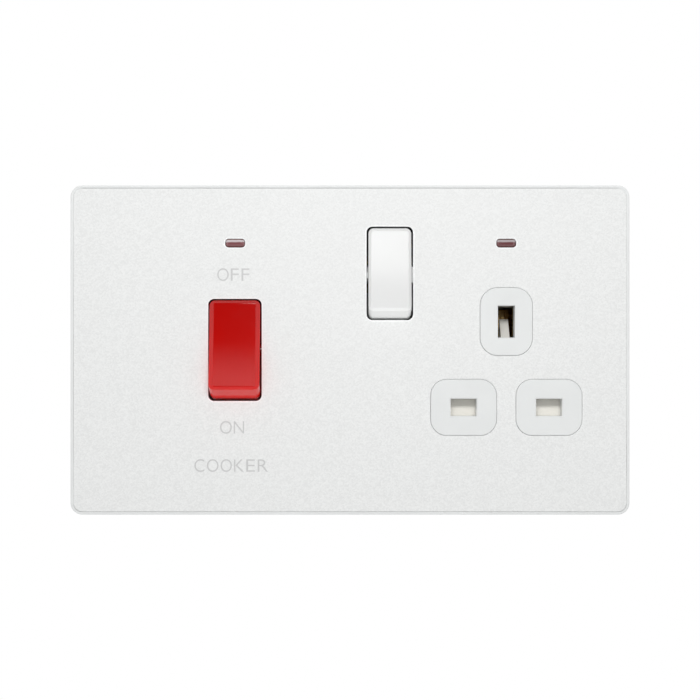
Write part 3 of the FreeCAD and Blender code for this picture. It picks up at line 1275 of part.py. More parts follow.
def socket_front():
    """White moulding with the three islands, the rocker's well and the flange on the yoke."""
    outer, pocket, hole, ears = well(SOCKET_SWITCH_X, SOCKET_SWITCH_Z, SOCKET_OPENING_W, SOCKET_OPENING_H,
                                     SOCKET_PIVOT_Y, SOCKET_STUB_R, ())
    flange = front_polygon(socket_front_points(), WEB_BACK_Y, FLANGE_BACK_Y)
    flange = flange.makeFillet(MOULDING_CORNER_R, edges_along(flange, "y"))
    bosses = []
    taps = []
    for x, z in SOCKET_SCREWS:
        bosses.append(rod("y", (x, z), FLANGE_BACK_Y - TOUCH, YOKE_BACK_Y, ASSEMBLY_BOSS_R))
        taps.append(pilot_hole(x, z))
    spread = 2 * WEB_CLEARANCE
    window = rounded_block(NEON_SOCKET_X, NEON_Z, NEON_WINDOW_W + 2 * NEON_FLANGE_MARGIN + spread,
                           NEON_WINDOW_H + 2 * NEON_FLANGE_MARGIN + spread, NEON_WINDOW_R, -THROUGH, THROUGH)
    solids = [flange, outer] + [island_solid(pad) for pad in islands()] + bosses
    solids += [slot_guide(slot) for slot in slots()]
    body = joined(solids)
    return without(body, [pocket, hole, window] + taps + [slot_cutter(slot) for slot in slots()])


def shutter_side_reach():
    """Half width of the shutter's crossbar, from the socket's centre line."""
    return LINE_PIN_PITCH / 2 + LINE_SLOT_W / 2 + SHUTTER_SIDE


def shutter_levels():
    """Bottom and top of the crossbar at rest."""
    half = LINE_SLOT_H / 2 + SHUTTER_OVERLAP
    return PIN_ROW_Z - half, PIN_ROW_Z + half


def shutter():
    """Sliding shutter: crossbar behind the line apertures and a ramped tongue behind the earth one."""
    low, high = shutter_levels()
    reach = shutter_side_reach()
    bar = box(SOCKET_X - reach, SOCKET_X + reach, SHUTTER_FRONT_Y, SHUTTER_BACK_Y, low, high)
    bar = bar.makeChamfer(SHUTTER_CORNER, edges_along(bar, "y"))
    skin = SHUTTER_SKIN
    hollow_half = SHUTTER_HOLLOW_W / 2
    lighten = box(SOCKET_X - hollow_half, SOCKET_X + hollow_half, SHUTTER_FRONT_Y + skin, SHUTTER_BACK_Y + 1,
                  low + skin, high - skin)
    half = TONGUE_WIDTH / 2
    ramp_foot = TONGUE_TOP_Z - TONGUE_RAMP_HEIGHT
    back = SHUTTER_BACK_Y + TONGUE_EXTRA_DEPTH
    ramp_depth = back - TONGUE_TIP_DEPTH
    heel = ramp_foot - TONGUE_HEEL
    tongue = side_polygon([
        (SHUTTER_FRONT_Y, high - TOUCH), (SHUTTER_FRONT_Y, ramp_foot), (ramp_depth, TONGUE_TOP_Z),
        (back, TONGUE_TOP_Z), (back, heel), (SHUTTER_BACK_Y, heel - TONGUE_EXTRA_DEPTH),
        (SHUTTER_BACK_Y, high - TOUCH)], TONGUE_X - half, TONGUE_X + half)
    return joined([bar.cut(lighten), tongue])


def shutter_spring():
    """Coil spring under the shutter, standing on the housing's floor."""
    low, high = shutter_levels()
    length = low - SPRING_SEAT_Z
    spring = helix_spring(SHUTTER_SPRING_R, SHUTTER_SPRING_WIRE_R, length, SHUTTER_SPRING_TURNS)
    spring.translate(vec(TONGUE_X, (SHUTTER_FRONT_Y + SHUTTER_BACK_Y) / 2, SPRING_SEAT_Z))
    return spring


def shutter_rooms():
    """Space in the rear housing for the shutter's whole travel, its tongue and its spring."""
    low, high = shutter_levels()
    reach = shutter_side_reach() + SHUTTER_SLIDE_GAP
    gap = SHUTTER_SLIDE_GAP
    half = TONGUE_WIDTH / 2 + gap
    back = SHUTTER_BACK_Y + gap
    deep = SHUTTER_BACK_Y + TONGUE_EXTRA_DEPTH + gap
    spring_half = SHUTTER_SPRING_R + SHUTTER_SPRING_WIRE_R + gap
    front = YOKE_BACK_Y - 1
    lowest = low - SHUTTER_TRAVEL
    return [
        box(SOCKET_X - reach, SOCKET_X + reach, front, back, lowest - SHUTTER_TRAVEL_ROOM, high + gap),
        box(TONGUE_X - half, TONGUE_X + half, front, deep, lowest, TONGUE_TOP_Z + TONGUE_ROOM),
        box(TONGUE_X - spring_half, TONGUE_X + spring_half, front, back, SPRING_SEAT_Z, low),
    ]


def jaw_rooms():
    """Space round the three pin contacts, open to the front."""
    side = JAW_GRIP / 2 + JAW_FLARE + LEAF_THICKNESS + JAW_ROOM_SIDE
    half = JAW_WIDTH / 2 + JAW_ROOM_END
    front = YOKE_BACK_Y - 1
    rooms = []
    for x in LINE_ISLAND_X:
        rooms.append(box(x - half, x + half, front, JAW_BACK_Y, PIN_ROW_Z - side, PIN_ROW_Z + side))
    tall = EARTH_JAW_WIDTH / 2 + EARTH_ROOM_END
    rooms.append(box(SOCKET_X - side, SOCKET_X + side, front, EARTH_JAW_BACK_Y, EARTH_Z - tall,
                     EARTH_Z + tall))
    tail_half = EARTH_TAIL_WIDTH / 2 + TAIL_PLAY_X
    tail_low = EARTH_Z - EARTH_TAIL_DROP
    rooms.append(box(SOCKET_X - tail_half, SOCKET_X + tail_half, 0, SOCKET_BASE_BACK_Y + 1,
                     tail_low - TAIL_PLAY_Z, tail_low + STRAP_THICKNESS + TAIL_PLAY_Z))
    return rooms


def socket_base():
    """Rear housing of the socket and its switch, open to the front in pockets for each piece."""
    body = front_polygon(socket_base_points(), YOKE_BACK_Y, SOCKET_BASE_BACK_Y)
    body = body.makeFillet(MOULDING_CORNER_R, edges_along(body, "y"))
    body = body.makeChamfer(BASE_EDGE, edges_at_y(body, SOCKET_BASE_BACK_Y))
    outer_w, outer_h = well_outer(SOCKET_OPENING_W, SOCKET_OPENING_H)
    cutters = contact_cavity(SOCKET_SWITCH_X, SOCKET_SWITCH_Z, STRIP_WIDTH + 2 * STRIP_ROOM, outer_w, outer_h)
    cutters += shutter_rooms() + jaw_rooms()
    cutters += [channel(run) for run in live_link_runs()[1:]]
    cutters += [channel(run) for run in neutral_link_runs()]
    cutters += [channel(run) for run in live_socket_runs()]
    low, high = pin_strip_levels()
    bridge_back = max(live_socket_runs()[0][3], JAW_BACK_Y)
    cutters.append(channel((LIVE_RISER_X, LIVE_RISER_X + LINK_HEIGHT, YOKE_BACK_Y, bridge_back, low, high)))
    cutters.append(lamp_pocket(NEON_SOCKET_X))
    cutters += screw_holes(SOCKET_SCREWS, SOCKET_BASE_BACK_Y)
    return without(body, cutters)


def neon_lens(x):
    """Tinted lens: a light pipe through the plate with a flange behind the web."""
    width = NEON_WINDOW_W - 2 * NEON_FIT
    height = NEON_WINDOW_H - 2 * NEON_FIT
    flange_back = WEB_BACK_Y + NEON_FLANGE_THICKNESS
    pipe = rounded_block(x, NEON_Z, width, height, NEON_WINDOW_R - NEON_FIT, FACE_Y, flange_back)
    pipe = pipe.makeChamfer(METAL_EDGE, edges_at_y(pipe, FACE_Y))
    margin = 2 * NEON_FLANGE_MARGIN
    flange = rounded_block(x, NEON_Z, width + margin, height + margin, NEON_WINDOW_R, WEB_BACK_Y, flange_back)
    return joined([pipe, flange])


def neon_lamp(x):
    """Glass neon tube lying behind its lens, with rounded ends."""
    half = LAMP_LENGTH / 2
    tube = rod("x", (LAMP_AXIS_Y, NEON_Z), x - half, x + half, LAMP_R)
    return tube.makeChamfer(LAMP_R / 2, tube.Edges[:1] + tube.Edges[2:3])


def neon_resistors():
    """One small series resistor behind each lamp."""
    half = RESISTOR_LENGTH / 2
    bodies = []
    for x in (NEON_COOKER_X, NEON_SOCKET_X):
        bodies.append(rod("x", (RESISTOR_AXIS_Y, NEON_Z), x - half, x + half, RESISTOR_R))
    return Part.makeCompound(bodies)


def cooker_nodes():
    """Nodes of the cooker switch."""
    nodes = {
        "cooker_switch_front": cooker_front(),
        "cooker_switch_base": cooker_base(),
        "cooker_base_screws": assembly_screws(cooker_screw_places(), BASE_DEPTH),
        "cooker_rocker": rocker(COOKER_X, COOKER_PIVOT_Y, COOKER_Z, COOKER_ROCKER_W, COOKER_SIZES,
                                COOKER_STUB_R, COOKER_POLES),
    }
    ceiling = rocker_ceiling(COOKER_PIVOT_Y, COOKER_SIZES)
    for name, offset in zip(("live", "neutral"), COOKER_POLES):
        x = COOKER_X + offset
        nodes["cooker_plunger_" + name] = plunger(x, COOKER_PIVOT_Y, COOKER_Z, COOKER_THROW)
        nodes["cooker_plunger_spring_" + name] = plunger_spring(x, COOKER_PIVOT_Y, COOKER_Z, ceiling,
                                                                COOKER_THROW)
        nodes["cooker_contact_" + name] = seesaw_contact(x, COOKER_Z, COOKER_STRIP_Y, CONTACT_THROW)
    makers = {"supply": supply_terminal, "load": load_terminal}
    for name, x, pole_x, z0, z1 in terminal_places():
        nodes[name + "_terminal"] = makers[name.split("_")[0]](x, pole_x, z0, z1)
    places = terminal_places()
    nodes["supply_terminal_screws"] = terminal_screws(places[0::2])
    nodes["load_terminal_screws"] = terminal_screws(places[1::2])
    return nodes


def socket_nodes():
    """Nodes of the switched socket."""
    ceiling = rocker_ceiling(SOCKET_PIVOT_Y, SOCKET_SIZES)
    return {
        "socket_front": socket_front(),
        "socket_base": socket_base(),
        "socket_base_screws": assembly_screws(SOCKET_SCREWS, SOCKET_BASE_BACK_Y),
        "socket_rocker": rocker(SOCKET_SWITCH_X, SOCKET_PIVOT_Y, SOCKET_SWITCH_Z, SOCKET_ROCKER_W,
                                SOCKET_SIZES, SOCKET_STUB_R, (0.0,)),
        "socket_plunger": plunger(SOCKET_SWITCH_X, SOCKET_PIVOT_Y, SOCKET_SWITCH_Z, SOCKET_THROW),
        "socket_plunger_spring": plunger_spring(SOCKET_SWITCH_X, SOCKET_PIVOT_Y, SOCKET_SWITCH_Z, ceiling,
                                                SOCKET_THROW),
        "socket_switch_contact": seesaw_contact(SOCKET_SWITCH_X, SOCKET_SWITCH_Z, SOCKET_STRIP_Y,
                                                SOCKET_CONTACT_THROW),
        "live_socket_contact": live_socket_contact(),
        "neutral_socket_contact": neutral_socket_contact(),
        "earth_socket_contact": earth_socket_contact(),
        "shutter": shutter(),
        "shutter_spring": shutter_spring(),
    }


def common_nodes():
    """Nodes shared by both halves."""
    return {
        "front_plate": front_plate(),
        "plate_frame": plate_frame(),
        "mounting_yoke": mounting_yoke(),
        "fixing_screws": fixing_screws(),
        "live_link": live_link(),
        "neutral_link": neutral_link(),
        "earth_strap": earth_strap(),
        "earth_terminal": earth_terminal(),
        "earth_terminal_screws": earth_terminal_screws(),
        "plate_earth_spring": plate_earth_spring(),
        "cooker_neon_lens": neon_lens(NEON_COOKER_X),
        "socket_neon_lens": neon_lens(NEON_SOCKET_X),
        "cooker_neon_lamp": neon_lamp(NEON_COOKER_X),
        "socket_neon_lamp": neon_lamp(NEON_SOCKET_X),
        "neon_resistors": neon_resistors(),
    }


def main():
    os.makedirs("parts", exist_ok=True)
    nodes = {}
    nodes.update(common_nodes())
    nodes.update(cooker_nodes())
    nodes.update(socket_nodes())
    for name, shape in nodes.items():
        shape.exportStep("parts/" + name + ".step")
        print(name, len(shape.Solids), shape.isValid(), round(shape.Volume, 2))


main()
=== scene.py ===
"""Looks of a two-gang cooker control unit: pearl metal plate, red and white rockers, shuttered socket."""

import json
import logging
import math
from dataclasses import dataclass, field
from enum import Enum
from typing import Iterable, Sequence

import bmesh
import bpy
from mathutils import Matrix, Vector

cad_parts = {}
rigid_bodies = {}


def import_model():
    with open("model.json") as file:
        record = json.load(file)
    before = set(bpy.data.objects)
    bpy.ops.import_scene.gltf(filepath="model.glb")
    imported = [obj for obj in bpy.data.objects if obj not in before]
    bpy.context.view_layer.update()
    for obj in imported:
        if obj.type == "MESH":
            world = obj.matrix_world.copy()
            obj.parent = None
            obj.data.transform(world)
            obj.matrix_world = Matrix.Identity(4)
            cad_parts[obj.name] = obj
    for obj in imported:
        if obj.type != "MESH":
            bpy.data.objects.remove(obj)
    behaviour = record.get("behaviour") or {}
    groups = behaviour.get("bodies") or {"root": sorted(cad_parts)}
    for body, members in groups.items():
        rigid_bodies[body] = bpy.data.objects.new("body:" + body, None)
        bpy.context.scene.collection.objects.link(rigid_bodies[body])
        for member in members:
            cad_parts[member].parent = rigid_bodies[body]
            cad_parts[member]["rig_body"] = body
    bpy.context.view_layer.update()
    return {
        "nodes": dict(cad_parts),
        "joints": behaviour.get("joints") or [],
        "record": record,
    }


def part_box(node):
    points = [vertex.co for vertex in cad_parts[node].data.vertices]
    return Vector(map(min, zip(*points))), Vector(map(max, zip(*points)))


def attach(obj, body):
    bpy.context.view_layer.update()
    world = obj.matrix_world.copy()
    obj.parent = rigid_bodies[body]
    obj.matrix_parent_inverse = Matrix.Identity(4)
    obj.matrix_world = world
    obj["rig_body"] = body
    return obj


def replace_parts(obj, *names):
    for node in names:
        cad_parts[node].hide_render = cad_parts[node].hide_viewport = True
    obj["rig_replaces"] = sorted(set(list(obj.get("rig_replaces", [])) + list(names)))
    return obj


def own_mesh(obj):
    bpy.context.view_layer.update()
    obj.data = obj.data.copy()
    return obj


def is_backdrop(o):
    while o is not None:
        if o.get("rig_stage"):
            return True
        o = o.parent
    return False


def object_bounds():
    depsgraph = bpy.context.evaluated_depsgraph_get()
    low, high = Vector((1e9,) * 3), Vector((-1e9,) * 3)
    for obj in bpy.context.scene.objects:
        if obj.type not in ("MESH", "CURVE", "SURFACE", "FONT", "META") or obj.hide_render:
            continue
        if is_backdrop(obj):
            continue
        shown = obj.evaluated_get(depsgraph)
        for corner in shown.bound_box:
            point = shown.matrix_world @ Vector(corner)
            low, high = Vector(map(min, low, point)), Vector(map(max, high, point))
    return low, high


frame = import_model()

MM = 0.001
SHARP_ANGLE = math.radians(32.0)
MOULDED_ANGLE = math.radians(50.0)
FLAT_ANGLE = math.radians(0.4)
MERGE = 1e-7
LEAST_RADIUS = 1e-5
ARC_STEPS = 8
ROOT = "root"

log = logging.getLogger("cooker_unit")

BMesh = bmesh.types.BMesh
Ring = list[bmesh.types.BMVert]
Socket = bpy.types.NodeSocket
Piece = bpy.types.Object
Material = bpy.types.Material
Pair = tuple[float, float]
Triple = tuple[float, float, float]


def joint_named(name: str) -> dict:
    """The frame's joint of that name."""
    return next(item for item in frame["joints"] if item["name"] == name)


class Slot(Enum):
    """The finishes named by the part's record."""

    PLATE = "plate_metal"
    WHITE = "white_plastic"
    RED_ROCKER = "rocker_red"
    WHITE_ROCKER = "rocker_white"
    HOUSING = "housing_plastic"
    STEEL = "zinc_steel"
    BRASS = "brass"
    SCREW = "plated_screw"
    SPRING = "spring_steel"
    PLUNGER = "plunger_plastic"
    SHUTTER = "shutter_plastic"
    LENS = "neon_lens"
    GLASS = "lamp_glass"
    RESISTOR = "resistor_body"


@dataclass(frozen=True)
class RoundedRect:
    """A rounded rectangle in the plane of the plate, in metres."""

    x: float
    z: float
    width: float
    height: float
    radius: float

    def points(self, inset: float = 0.0) -> list[Pair]:
        """Outline points, anticlockwise seen from the front.

        Args:
            inset: distance that the outline is drawn in by; negative draws it out.

        Returns:
            A list of (x, z) pairs.
        """
        half_w = self.width / 2 - inset
        half_h = self.height / 2 - inset
        radius = max(self.radius - inset, LEAST_RADIUS)
        found = []
        for quarter, (sx, sz) in enumerate(((1, 1), (-1, 1), (-1, -1), (1, -1))):
            cx = self.x + sx * (half_w - radius)
            cz = self.z + sz * (half_h - radius)
            for step in range(ARC_STEPS + 1):
                angle = math.pi / 2 * (quarter + step / ARC_STEPS)
                found.append((cx + radius * math.cos(angle), cz + radius * math.sin(angle)))
        return found


class MeshWork:
    """Mesh helpers shared by every sub-assembly."""

    @staticmethod
    def ring(bm: BMesh, points: Iterable[Pair], y: float) -> Ring:
        """Vertices of one outline at a depth.

        Args:
            bm: mesh under construction.
            points: (x, z) pairs.
            y: depth of the ring.

        Returns:
            The new vertices, in order.
        """
        return [bm.verts.new((x, y, z)) for x, z in points]

    @staticmethod
    def bridge(bm: BMesh, rings: Sequence[Ring], finish: int = 0) -> None:
        """Quads between each ring and the next.

        Args:
            bm: mesh under construction.
            rings: closed rings with the same number of vertices.
            finish: material index of the new faces.
        """
        for near, far in zip(rings, rings[1:]):
            count = len(near)
            for i in range(count):
                j = (i + 1) % count
                face = bm.faces.new((near[i], far[i], far[j], near[j]))
                face.material_index = finish

    @staticmethod
    def rounded_path(points: Sequence[Pair], radii: Sequence[float],
                     steps: int = 5) -> list[Pair]:
        """Path in a plane with its inner corners rounded.

        Args:
            points: corners of the path.
            radii: radius of each inner corner.
            steps: straight pieces in each rounding.

        Returns:
            The points of the rounded path, from the first corner to the last.
        """
        corners = [Vector(point) for point in points]
        path = [points[0]]
        for before, corner, after, radius in zip(corners, corners[1:], corners[2:], radii):
            inward = (before - corner).normalized()
            outward = (after - corner).normalized()
            cut = radius / math.tan(inward.angle(outward) / 2)
            start = corner + inward * cut
            end = corner + outward * cut
            for step in range(steps + 1):
                share = step / steps
                point = start.lerp(corner, share).lerp(corner.lerp(end, share), share)
                path.append((point.x, point.y))
        path.append(points[-1])
        return path

    @staticmethod
    def fill(bm: BMesh, loops: Sequence[Ring], facing: float) -> None:
        """Flat face inside the first loop and round the others.

        Args:
            bm: mesh under construction.
            loops: the outer loop, then any holes.
            facing: -1 for a face towards the room, 1 for one towards the wall.
        """
        edges = []
        for loop in loops:
            for i, vert in enumerate(loop):
                pair = (vert, loop[(i + 1) % len(loop)])
                edges.append(bm.edges.get(pair) or bm.edges.new(pair))
        made = bmesh.ops.triangle_fill(bm, use_beauty=True, use_dissolve=False, edges=edges,
                                       normal=Vector((0, facing, 0)))
        faces = [item for item in made["geom"] if isinstance(item, bmesh.types.BMFace)]
        MeshWork.turn(faces, facing)

    @staticmethod
    def turn(faces: Iterable[bmesh.types.BMFace], facing: float) -> None:
        """Turn flat faces towards the room (-1) or the wall (1)."""
        for face in faces:
            face.normal_update()
            if face.normal.y * facing < 0:
                face.normal_flip()

    @staticmethod
    def closed(bm: BMesh, rings: Sequence[Ring]) -> None:
        """Closed form through rings, with flat ends in front and behind."""
        MeshWork.bridge(bm, rings)
        MeshWork.fill(bm, [rings[0]], -1)
        MeshWork.fill(bm, [rings[-1]], 1)

    @staticmethod
    def added(name: str, data: bpy.types.ID) -> Piece:
        """New object in the scene that holds some data."""
        item = bpy.data.objects.new(name, data)
        bpy.context.scene.collection.objects.link(item)
        return item

    @staticmethod
    def to_object(bm: BMesh, name: str, outward: bool = True) -> Piece:
        """Finished mesh as an object at the origin.

        Args:
            bm: mesh under construction; it is freed.
            name: name of the piece.
            outward: whether to recalculate the normals.

        Returns:
            The new object, linked to the scene.
        """
        bmesh.ops.remove_doubles(bm, verts=bm.verts, dist=MERGE)
        if outward:
            bmesh.ops.recalc_face_normals(bm, faces=bm.faces)
        mesh = bpy.data.meshes.new(name)
        bm.to_mesh(mesh)
        bm.free()
        return MeshWork.added(name, mesh)

    @staticmethod
    def settle(piece: Piece, angle: float = SHARP_ANGLE) -> Piece:
        """Smooth shading that keeps flat faces flat and hard edges hard.

        Args:
            piece: mesh object at the origin.
            angle: edges sharper than this stay sharp.

        Returns:
            The same object, with the modifier's result as its mesh.
        """
        piece.data.shade_smooth()
        piece.data.set_sharp_from_angle(angle=angle)
        modifier = piece.modifiers.new("weighted", "WEIGHTED_NORMAL")
        modifier.keep_sharp = True
        modifier.weight = 100
        return MeshWork.bake(piece)

    @staticmethod
    def bake(piece: Piece) -> Piece:
        """Replace a piece's mesh by the result of its modifiers.

        Args:
            piece: object with live modifiers.

        Returns:
            The same object, with no modifiers.
        """
        graph = bpy.context.evaluated_depsgraph_get()
        mesh = bpy.data.meshes.new_from_object(piece.evaluated_get(graph), preserve_all_data_layers=True,
                                               depsgraph=graph)
        piece.modifiers.clear()
        piece.data = mesh
        return piece

    @staticmethod
    def pierced_slab(name: str, outer: RoundedRect, holes: Sequence[RoundedRect],
                     painted_highlight_holes: Sequence[RoundedRect], front: float, back: float, edge: float, lip: float,
                     steps: int = 4) -> Piece:
        """Sheet with holes, its front edges rounded over, some of them with a painted highlight.

        Args:
            name: name of the piece.
            outer: outline of the sheet.
            holes: outlines of the holes with plain edges.
            painted_highlight_holes: outlines of the holes whose edges carry a painted highlight.
            front: depth of the front face.
            back: depth of the back face.
            edge: radius of the front edges of those holes; the plain ones have half of it.
            lip: width of the flat border beside each edge, which on those holes carries the painted highlight
                too.
            steps: facets in that rounding.

        Returns:
            The new object, with material 1, the painted highlight, on the edges of those holes.
        """
        bm = bmesh.new()
        fronts = []
        backs = []
        for sign, shape in [(1, outer)] + [(-1, hole) for hole in [*holes, *painted_highlight_holes]]:
            # painted highlight: the edges and lip of these holes get material 1, the bright edge finish
            painted_bright = shape in painted_highlight_holes
            radius = edge if painted_bright else edge / 2
            rings = [MeshWork.ring(bm, shape.points(sign * (radius + lip)), front)]
            for step in range(steps + 1):
                angle = math.pi / 2 * step / steps
                inset = sign * radius * (1 - math.sin(angle))
                rings.append(MeshWork.ring(bm, shape.points(inset), front + radius * (1 - math.cos(angle))))
            rings.append(MeshWork.ring(bm, shape.points(), back))
            MeshWork.bridge(bm, rings, int(painted_bright))
            fronts.append(rings[0])
            backs.append(rings[-1])
        MeshWork.fill(bm, fronts, -1)
        MeshWork.fill(bm, backs, 1)
        return MeshWork.settle(MeshWork.to_object(bm, name))

    @staticmethod
    def spin(bm: BMesh, profile: Sequence[Pair], centre: Vector, axis: Vector, segments: int = 32) -> None:
        """Closed solid turned round an axis.

        Args:
            bm: mesh under construction.
            profile: (radius, distance along the axis) pairs, open; its two ends are closed by flat discs.
            centre: point on the axis at distance 0.
            axis: unit direction of the axis.
            segments: facets round the axis.
        """
        turn = axis.to_track_quat("Z", "Y").to_matrix()
        rings = []
        for radius, along in profile:
            ring = []
            for i in range(segments):
                angle = 2 * math.pi * i / segments
                local = Vector((radius * math.cos(angle), radius * math.sin(angle), along))
                ring.append(bm.verts.new(centre + turn @ local))
            rings.append(ring)
        MeshWork.bridge(bm, rings)
        bm.faces.new(rings[0])
        bm.faces.new(rings[-1])

    @staticmethod
    def copied(node: str) -> BMesh:
        """Merged copy of a CAD node's mesh, without its UV maps."""
        bm = bmesh.new()
        bm.from_mesh(frame["nodes"][node].data)
        for layer in list(bm.loops.layers.uv):
            bm.loops.layers.uv.remove(layer)
        bmesh.ops.remove_doubles(bm, verts=bm.verts, dist=MERGE)
        return bm

    @staticmethod
    def refined(node: str, angle: float = SHARP_ANGLE) -> Piece:
        """Merged and smoothly shaded copy of a CAD node that stands for it, its flat faces joined up.

        Args:
            node: name of the node.
            angle: edges sharper than this stay sharp.

        Returns:
            The new object, which replaces the node.
        """
        bm = MeshWork.copied(node)
        bmesh.ops.dissolve_limit(bm, angle_limit=FLAT_ANGLE, verts=bm.verts, edges=bm.edges)
        piece = MeshWork.to_object(bm, node + "_dressed", outward=False)
        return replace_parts(MeshWork.settle(piece, angle), node)

    @staticmethod
    def solids(node: str) -> list[tuple[Vector, Vector]]:
        """Lowest and highest corner of each separate solid of a CAD node."""
        bm = MeshWork.copied(node)
        left = set(bm.verts)
        boxes = []
        while left:
            front = [left.pop()]
            member = list(front)
            while front:
                vert = front.pop()
                for edge in vert.link_edges:
                    other = edge.other_vert(vert)
                    if other in left:
                        left.remove(other)
                        front.append(other)
                        member.append(other)
            low = Vector([min(vert.co[i] for vert in member) for i in range(3)])
            high = Vector([max(vert.co[i] for vert in member) for i in range(3)])
            boxes.append((low, high))
        bm.free()
        return sorted(boxes, key=lambda pair: tuple(pair[0]))


class Graph:
    """A node tree under construction, with short calls that add and join its nodes."""

    def __init__(self, tree: bpy.types.NodeTree) -> None:
        """Work in one tree.

        Args:
            tree: tree of a material, the world or Geometry Nodes.
        """
        self.tree = tree

    def node(self, kind: str, settings: dict[str, object] | None = None, **inputs: object) -> bpy.types.Node:
        """Add a node.

        Args:
            kind: the node's type.
            settings: properties of the node.
            inputs: values or sockets for its inputs, named with underscores for spaces.

        Returns:
            The node.
        """
        made = self.tree.nodes.new(kind)
        for key, value in (settings or {}).items():
            setattr(made, key, value)
        for key, value in inputs.items():
            self.feed(made.inputs[key.replace("_", " ")], value)
        return made

    def feed(self, target: Socket, value: object) -> None:
        """Link a socket to an input, or set the input's own value."""
        if isinstance(value, Socket):
            self.tree.links.new(value, target)
        else:
            target.default_value = value

    def maths(self, operation: str, first: object, second: object) -> Socket:
        """Result of an operation on two numbers or sockets."""
        made = self.node("ShaderNodeMath", {"operation": operation})
        self.feed(made.inputs[0], first)
        self.feed(made.inputs[1], second)
        return made.outputs[0]


class Shader(Graph):
    """A material under construction."""

    def __init__(self, name: str) -> None:
        """Start a material with one Principled shader.

        Args:
            name: name of the material.
        """
        self.material = bpy.data.materials.new(name)
        self.material.use_nodes = True
        super().__init__(self.material.node_tree)
        self.tree.nodes.clear()
        self.surface = self.node("ShaderNodeBsdfPrincipled")
        self.output = self.node("ShaderNodeOutputMaterial", Surface=self.surface.outputs["BSDF"])
        self.place = self.node("ShaderNodeTexCoord").outputs["Object"]

    def set(self, **values: object) -> "Shader":
        """Set the Principled shader's own sockets, given with underscores for spaces."""
        for name, value in values.items():
            self.surface.inputs[name.replace("_", " ")].default_value = value
        return self

    def noise(self, scale: float, detail: float = 2.0, stretch: Triple = (1, 1, 1)) -> Socket:
        """Noise over the piece's own coordinates.

        Args:
            scale: cells in a metre.
            detail: octaves.
            stretch: factor along each axis.

        Returns:
            The noise's factor.
        """
        mapping = self.node("ShaderNodeMapping", Vector=self.place, Scale=stretch)
        texture = self.node("ShaderNodeTexNoise", Vector=mapping.outputs["Vector"], Scale=scale,
                            Detail=detail)
        return texture.outputs["Fac"]

    def flakes(self, scale: float) -> Socket:
        """Random value of the nearest flake, in cells of 1 / scale metres."""
        texture = self.node("ShaderNodeTexVoronoi", Vector=self.place, Scale=scale)
        return self.node("ShaderNodeSeparateColor", Color=texture.outputs["Color"]).outputs["Red"]

    def ramp(self, factor: Socket, first: Sequence[float], last: Sequence[float], low: float = 0.3,
             high: float = 0.7) -> Socket:
        """Colour that runs from first to last as a factor runs from low to high.

        Args:
            factor: driving value.
            first: linear colour.
            last: linear colour.
            low: value at which the first colour ends.
            high: value at which the last colour is reached.

        Returns:
            The colour.
        """
        return self.stops(factor, ((low, first), (high, last)))

    def stops(self, factor: Socket,
              marks: Sequence[tuple[float, Sequence[float]]]) -> Socket:
        """Colour that runs through several marks.

        Args:
            factor: driving value.
            marks: (position, linear colour) pairs in rising order.

        Returns:
            The colour.
        """
        ramp = self.node("ShaderNodeValToRGB", Fac=factor)
        elements = ramp.color_ramp.elements
        while len(elements) < len(marks):
            elements.new(1.0)
        for element, (position, colour) in zip(elements, marks):
            element.position = position
            element.color = (*colour, 1.0)
        return ramp.outputs["Color"]

    def along(self, axis: str, low: float, high: float) -> Socket:
        """Factor that runs from 0 to 1 as one of the piece's own coordinates runs from low to high.

        Args:
            axis: X, Y or Z.
            low: coordinate in metres at which the factor is 0.
            high: coordinate in metres at which it is 1.

        Returns:
            The factor.
        """
        split = self.node("ShaderNodeSeparateXYZ", Vector=self.place)
        return self.node("ShaderNodeMapRange", Value=split.outputs[axis], From_Min=low,
                         From_Max=high).outputs["Result"]

    def mixed(self, factor: Socket, first: Socket, second: Socket) -> Socket:
        """Colour between two others, by a factor from 0 to 1."""
        mix = self.node("ShaderNodeMix", {"data_type": "RGBA"}, Factor=factor)
        self.feed(mix.inputs[6], first)
        self.feed(mix.inputs[7], second)
        return mix.outputs[2]

    def spread(self, factor: Socket, low: float, high: float) -> Socket:
        """Value between low and high that follows a factor."""
        return self.node("ShaderNodeMapRange", Value=factor, To_Min=low, To_Max=high).outputs["Result"]

    def bump(self, height: Socket, distance: float, strength: float) -> "Shader":
        """Relief from a height value.

        Args:
            height: value from 0 to 1.
            distance: depth of the relief in metres.
            strength: share of it that is used.

        Returns:
            This shader.
        """
        bump = self.node("ShaderNodeBump", Distance=distance, Strength=strength, Height=height)
        self.feed(self.surface.inputs["Normal"], bump.outputs["Normal"])
        return self

    def colour(self, source: Socket) -> "Shader":
        """Drive the base colour."""
        self.feed(self.surface.inputs["Base Color"], source)
        return self

    def clouded(self, cloud: Socket, shade: Sequence[float], gains: Pair,
                fade: float, span: Pair) -> "Shader":
        """Faintly clouded base colour, with painted shade that fades it from the piece's lower to its upper
        end.

        Args:
            cloud: value that mixes the two gains.
            shade: linear colour.
            gains: factors of the darkest and the lightest tone.
            fade: painted shade, the share that is gained at the lower end and lost at the upper one.
            span: heights in metres of the two ends.

        Returns:
            This shader.
        """
        tones = []
        for end in (1 + fade, 1 - fade):
            dark, light = ([min(c * end * gain, 1.0) for c in shade] for gain in gains)
            tones.append(self.ramp(cloud, dark, light))
        return self.colour(self.mixed(self.along("Z", *span), *tones))

    def rough(self, source: Socket) -> "Shader":
        """Drive the roughness."""
        self.feed(self.surface.inputs["Roughness"], source)
        return self

    def uneven(self, source: Socket, roughness: float, shares: Pair) -> "Shader":
        """Drive the roughness between two shares of its mean."""
        return self.rough(self.spread(source, *(roughness * share for share in shares)))


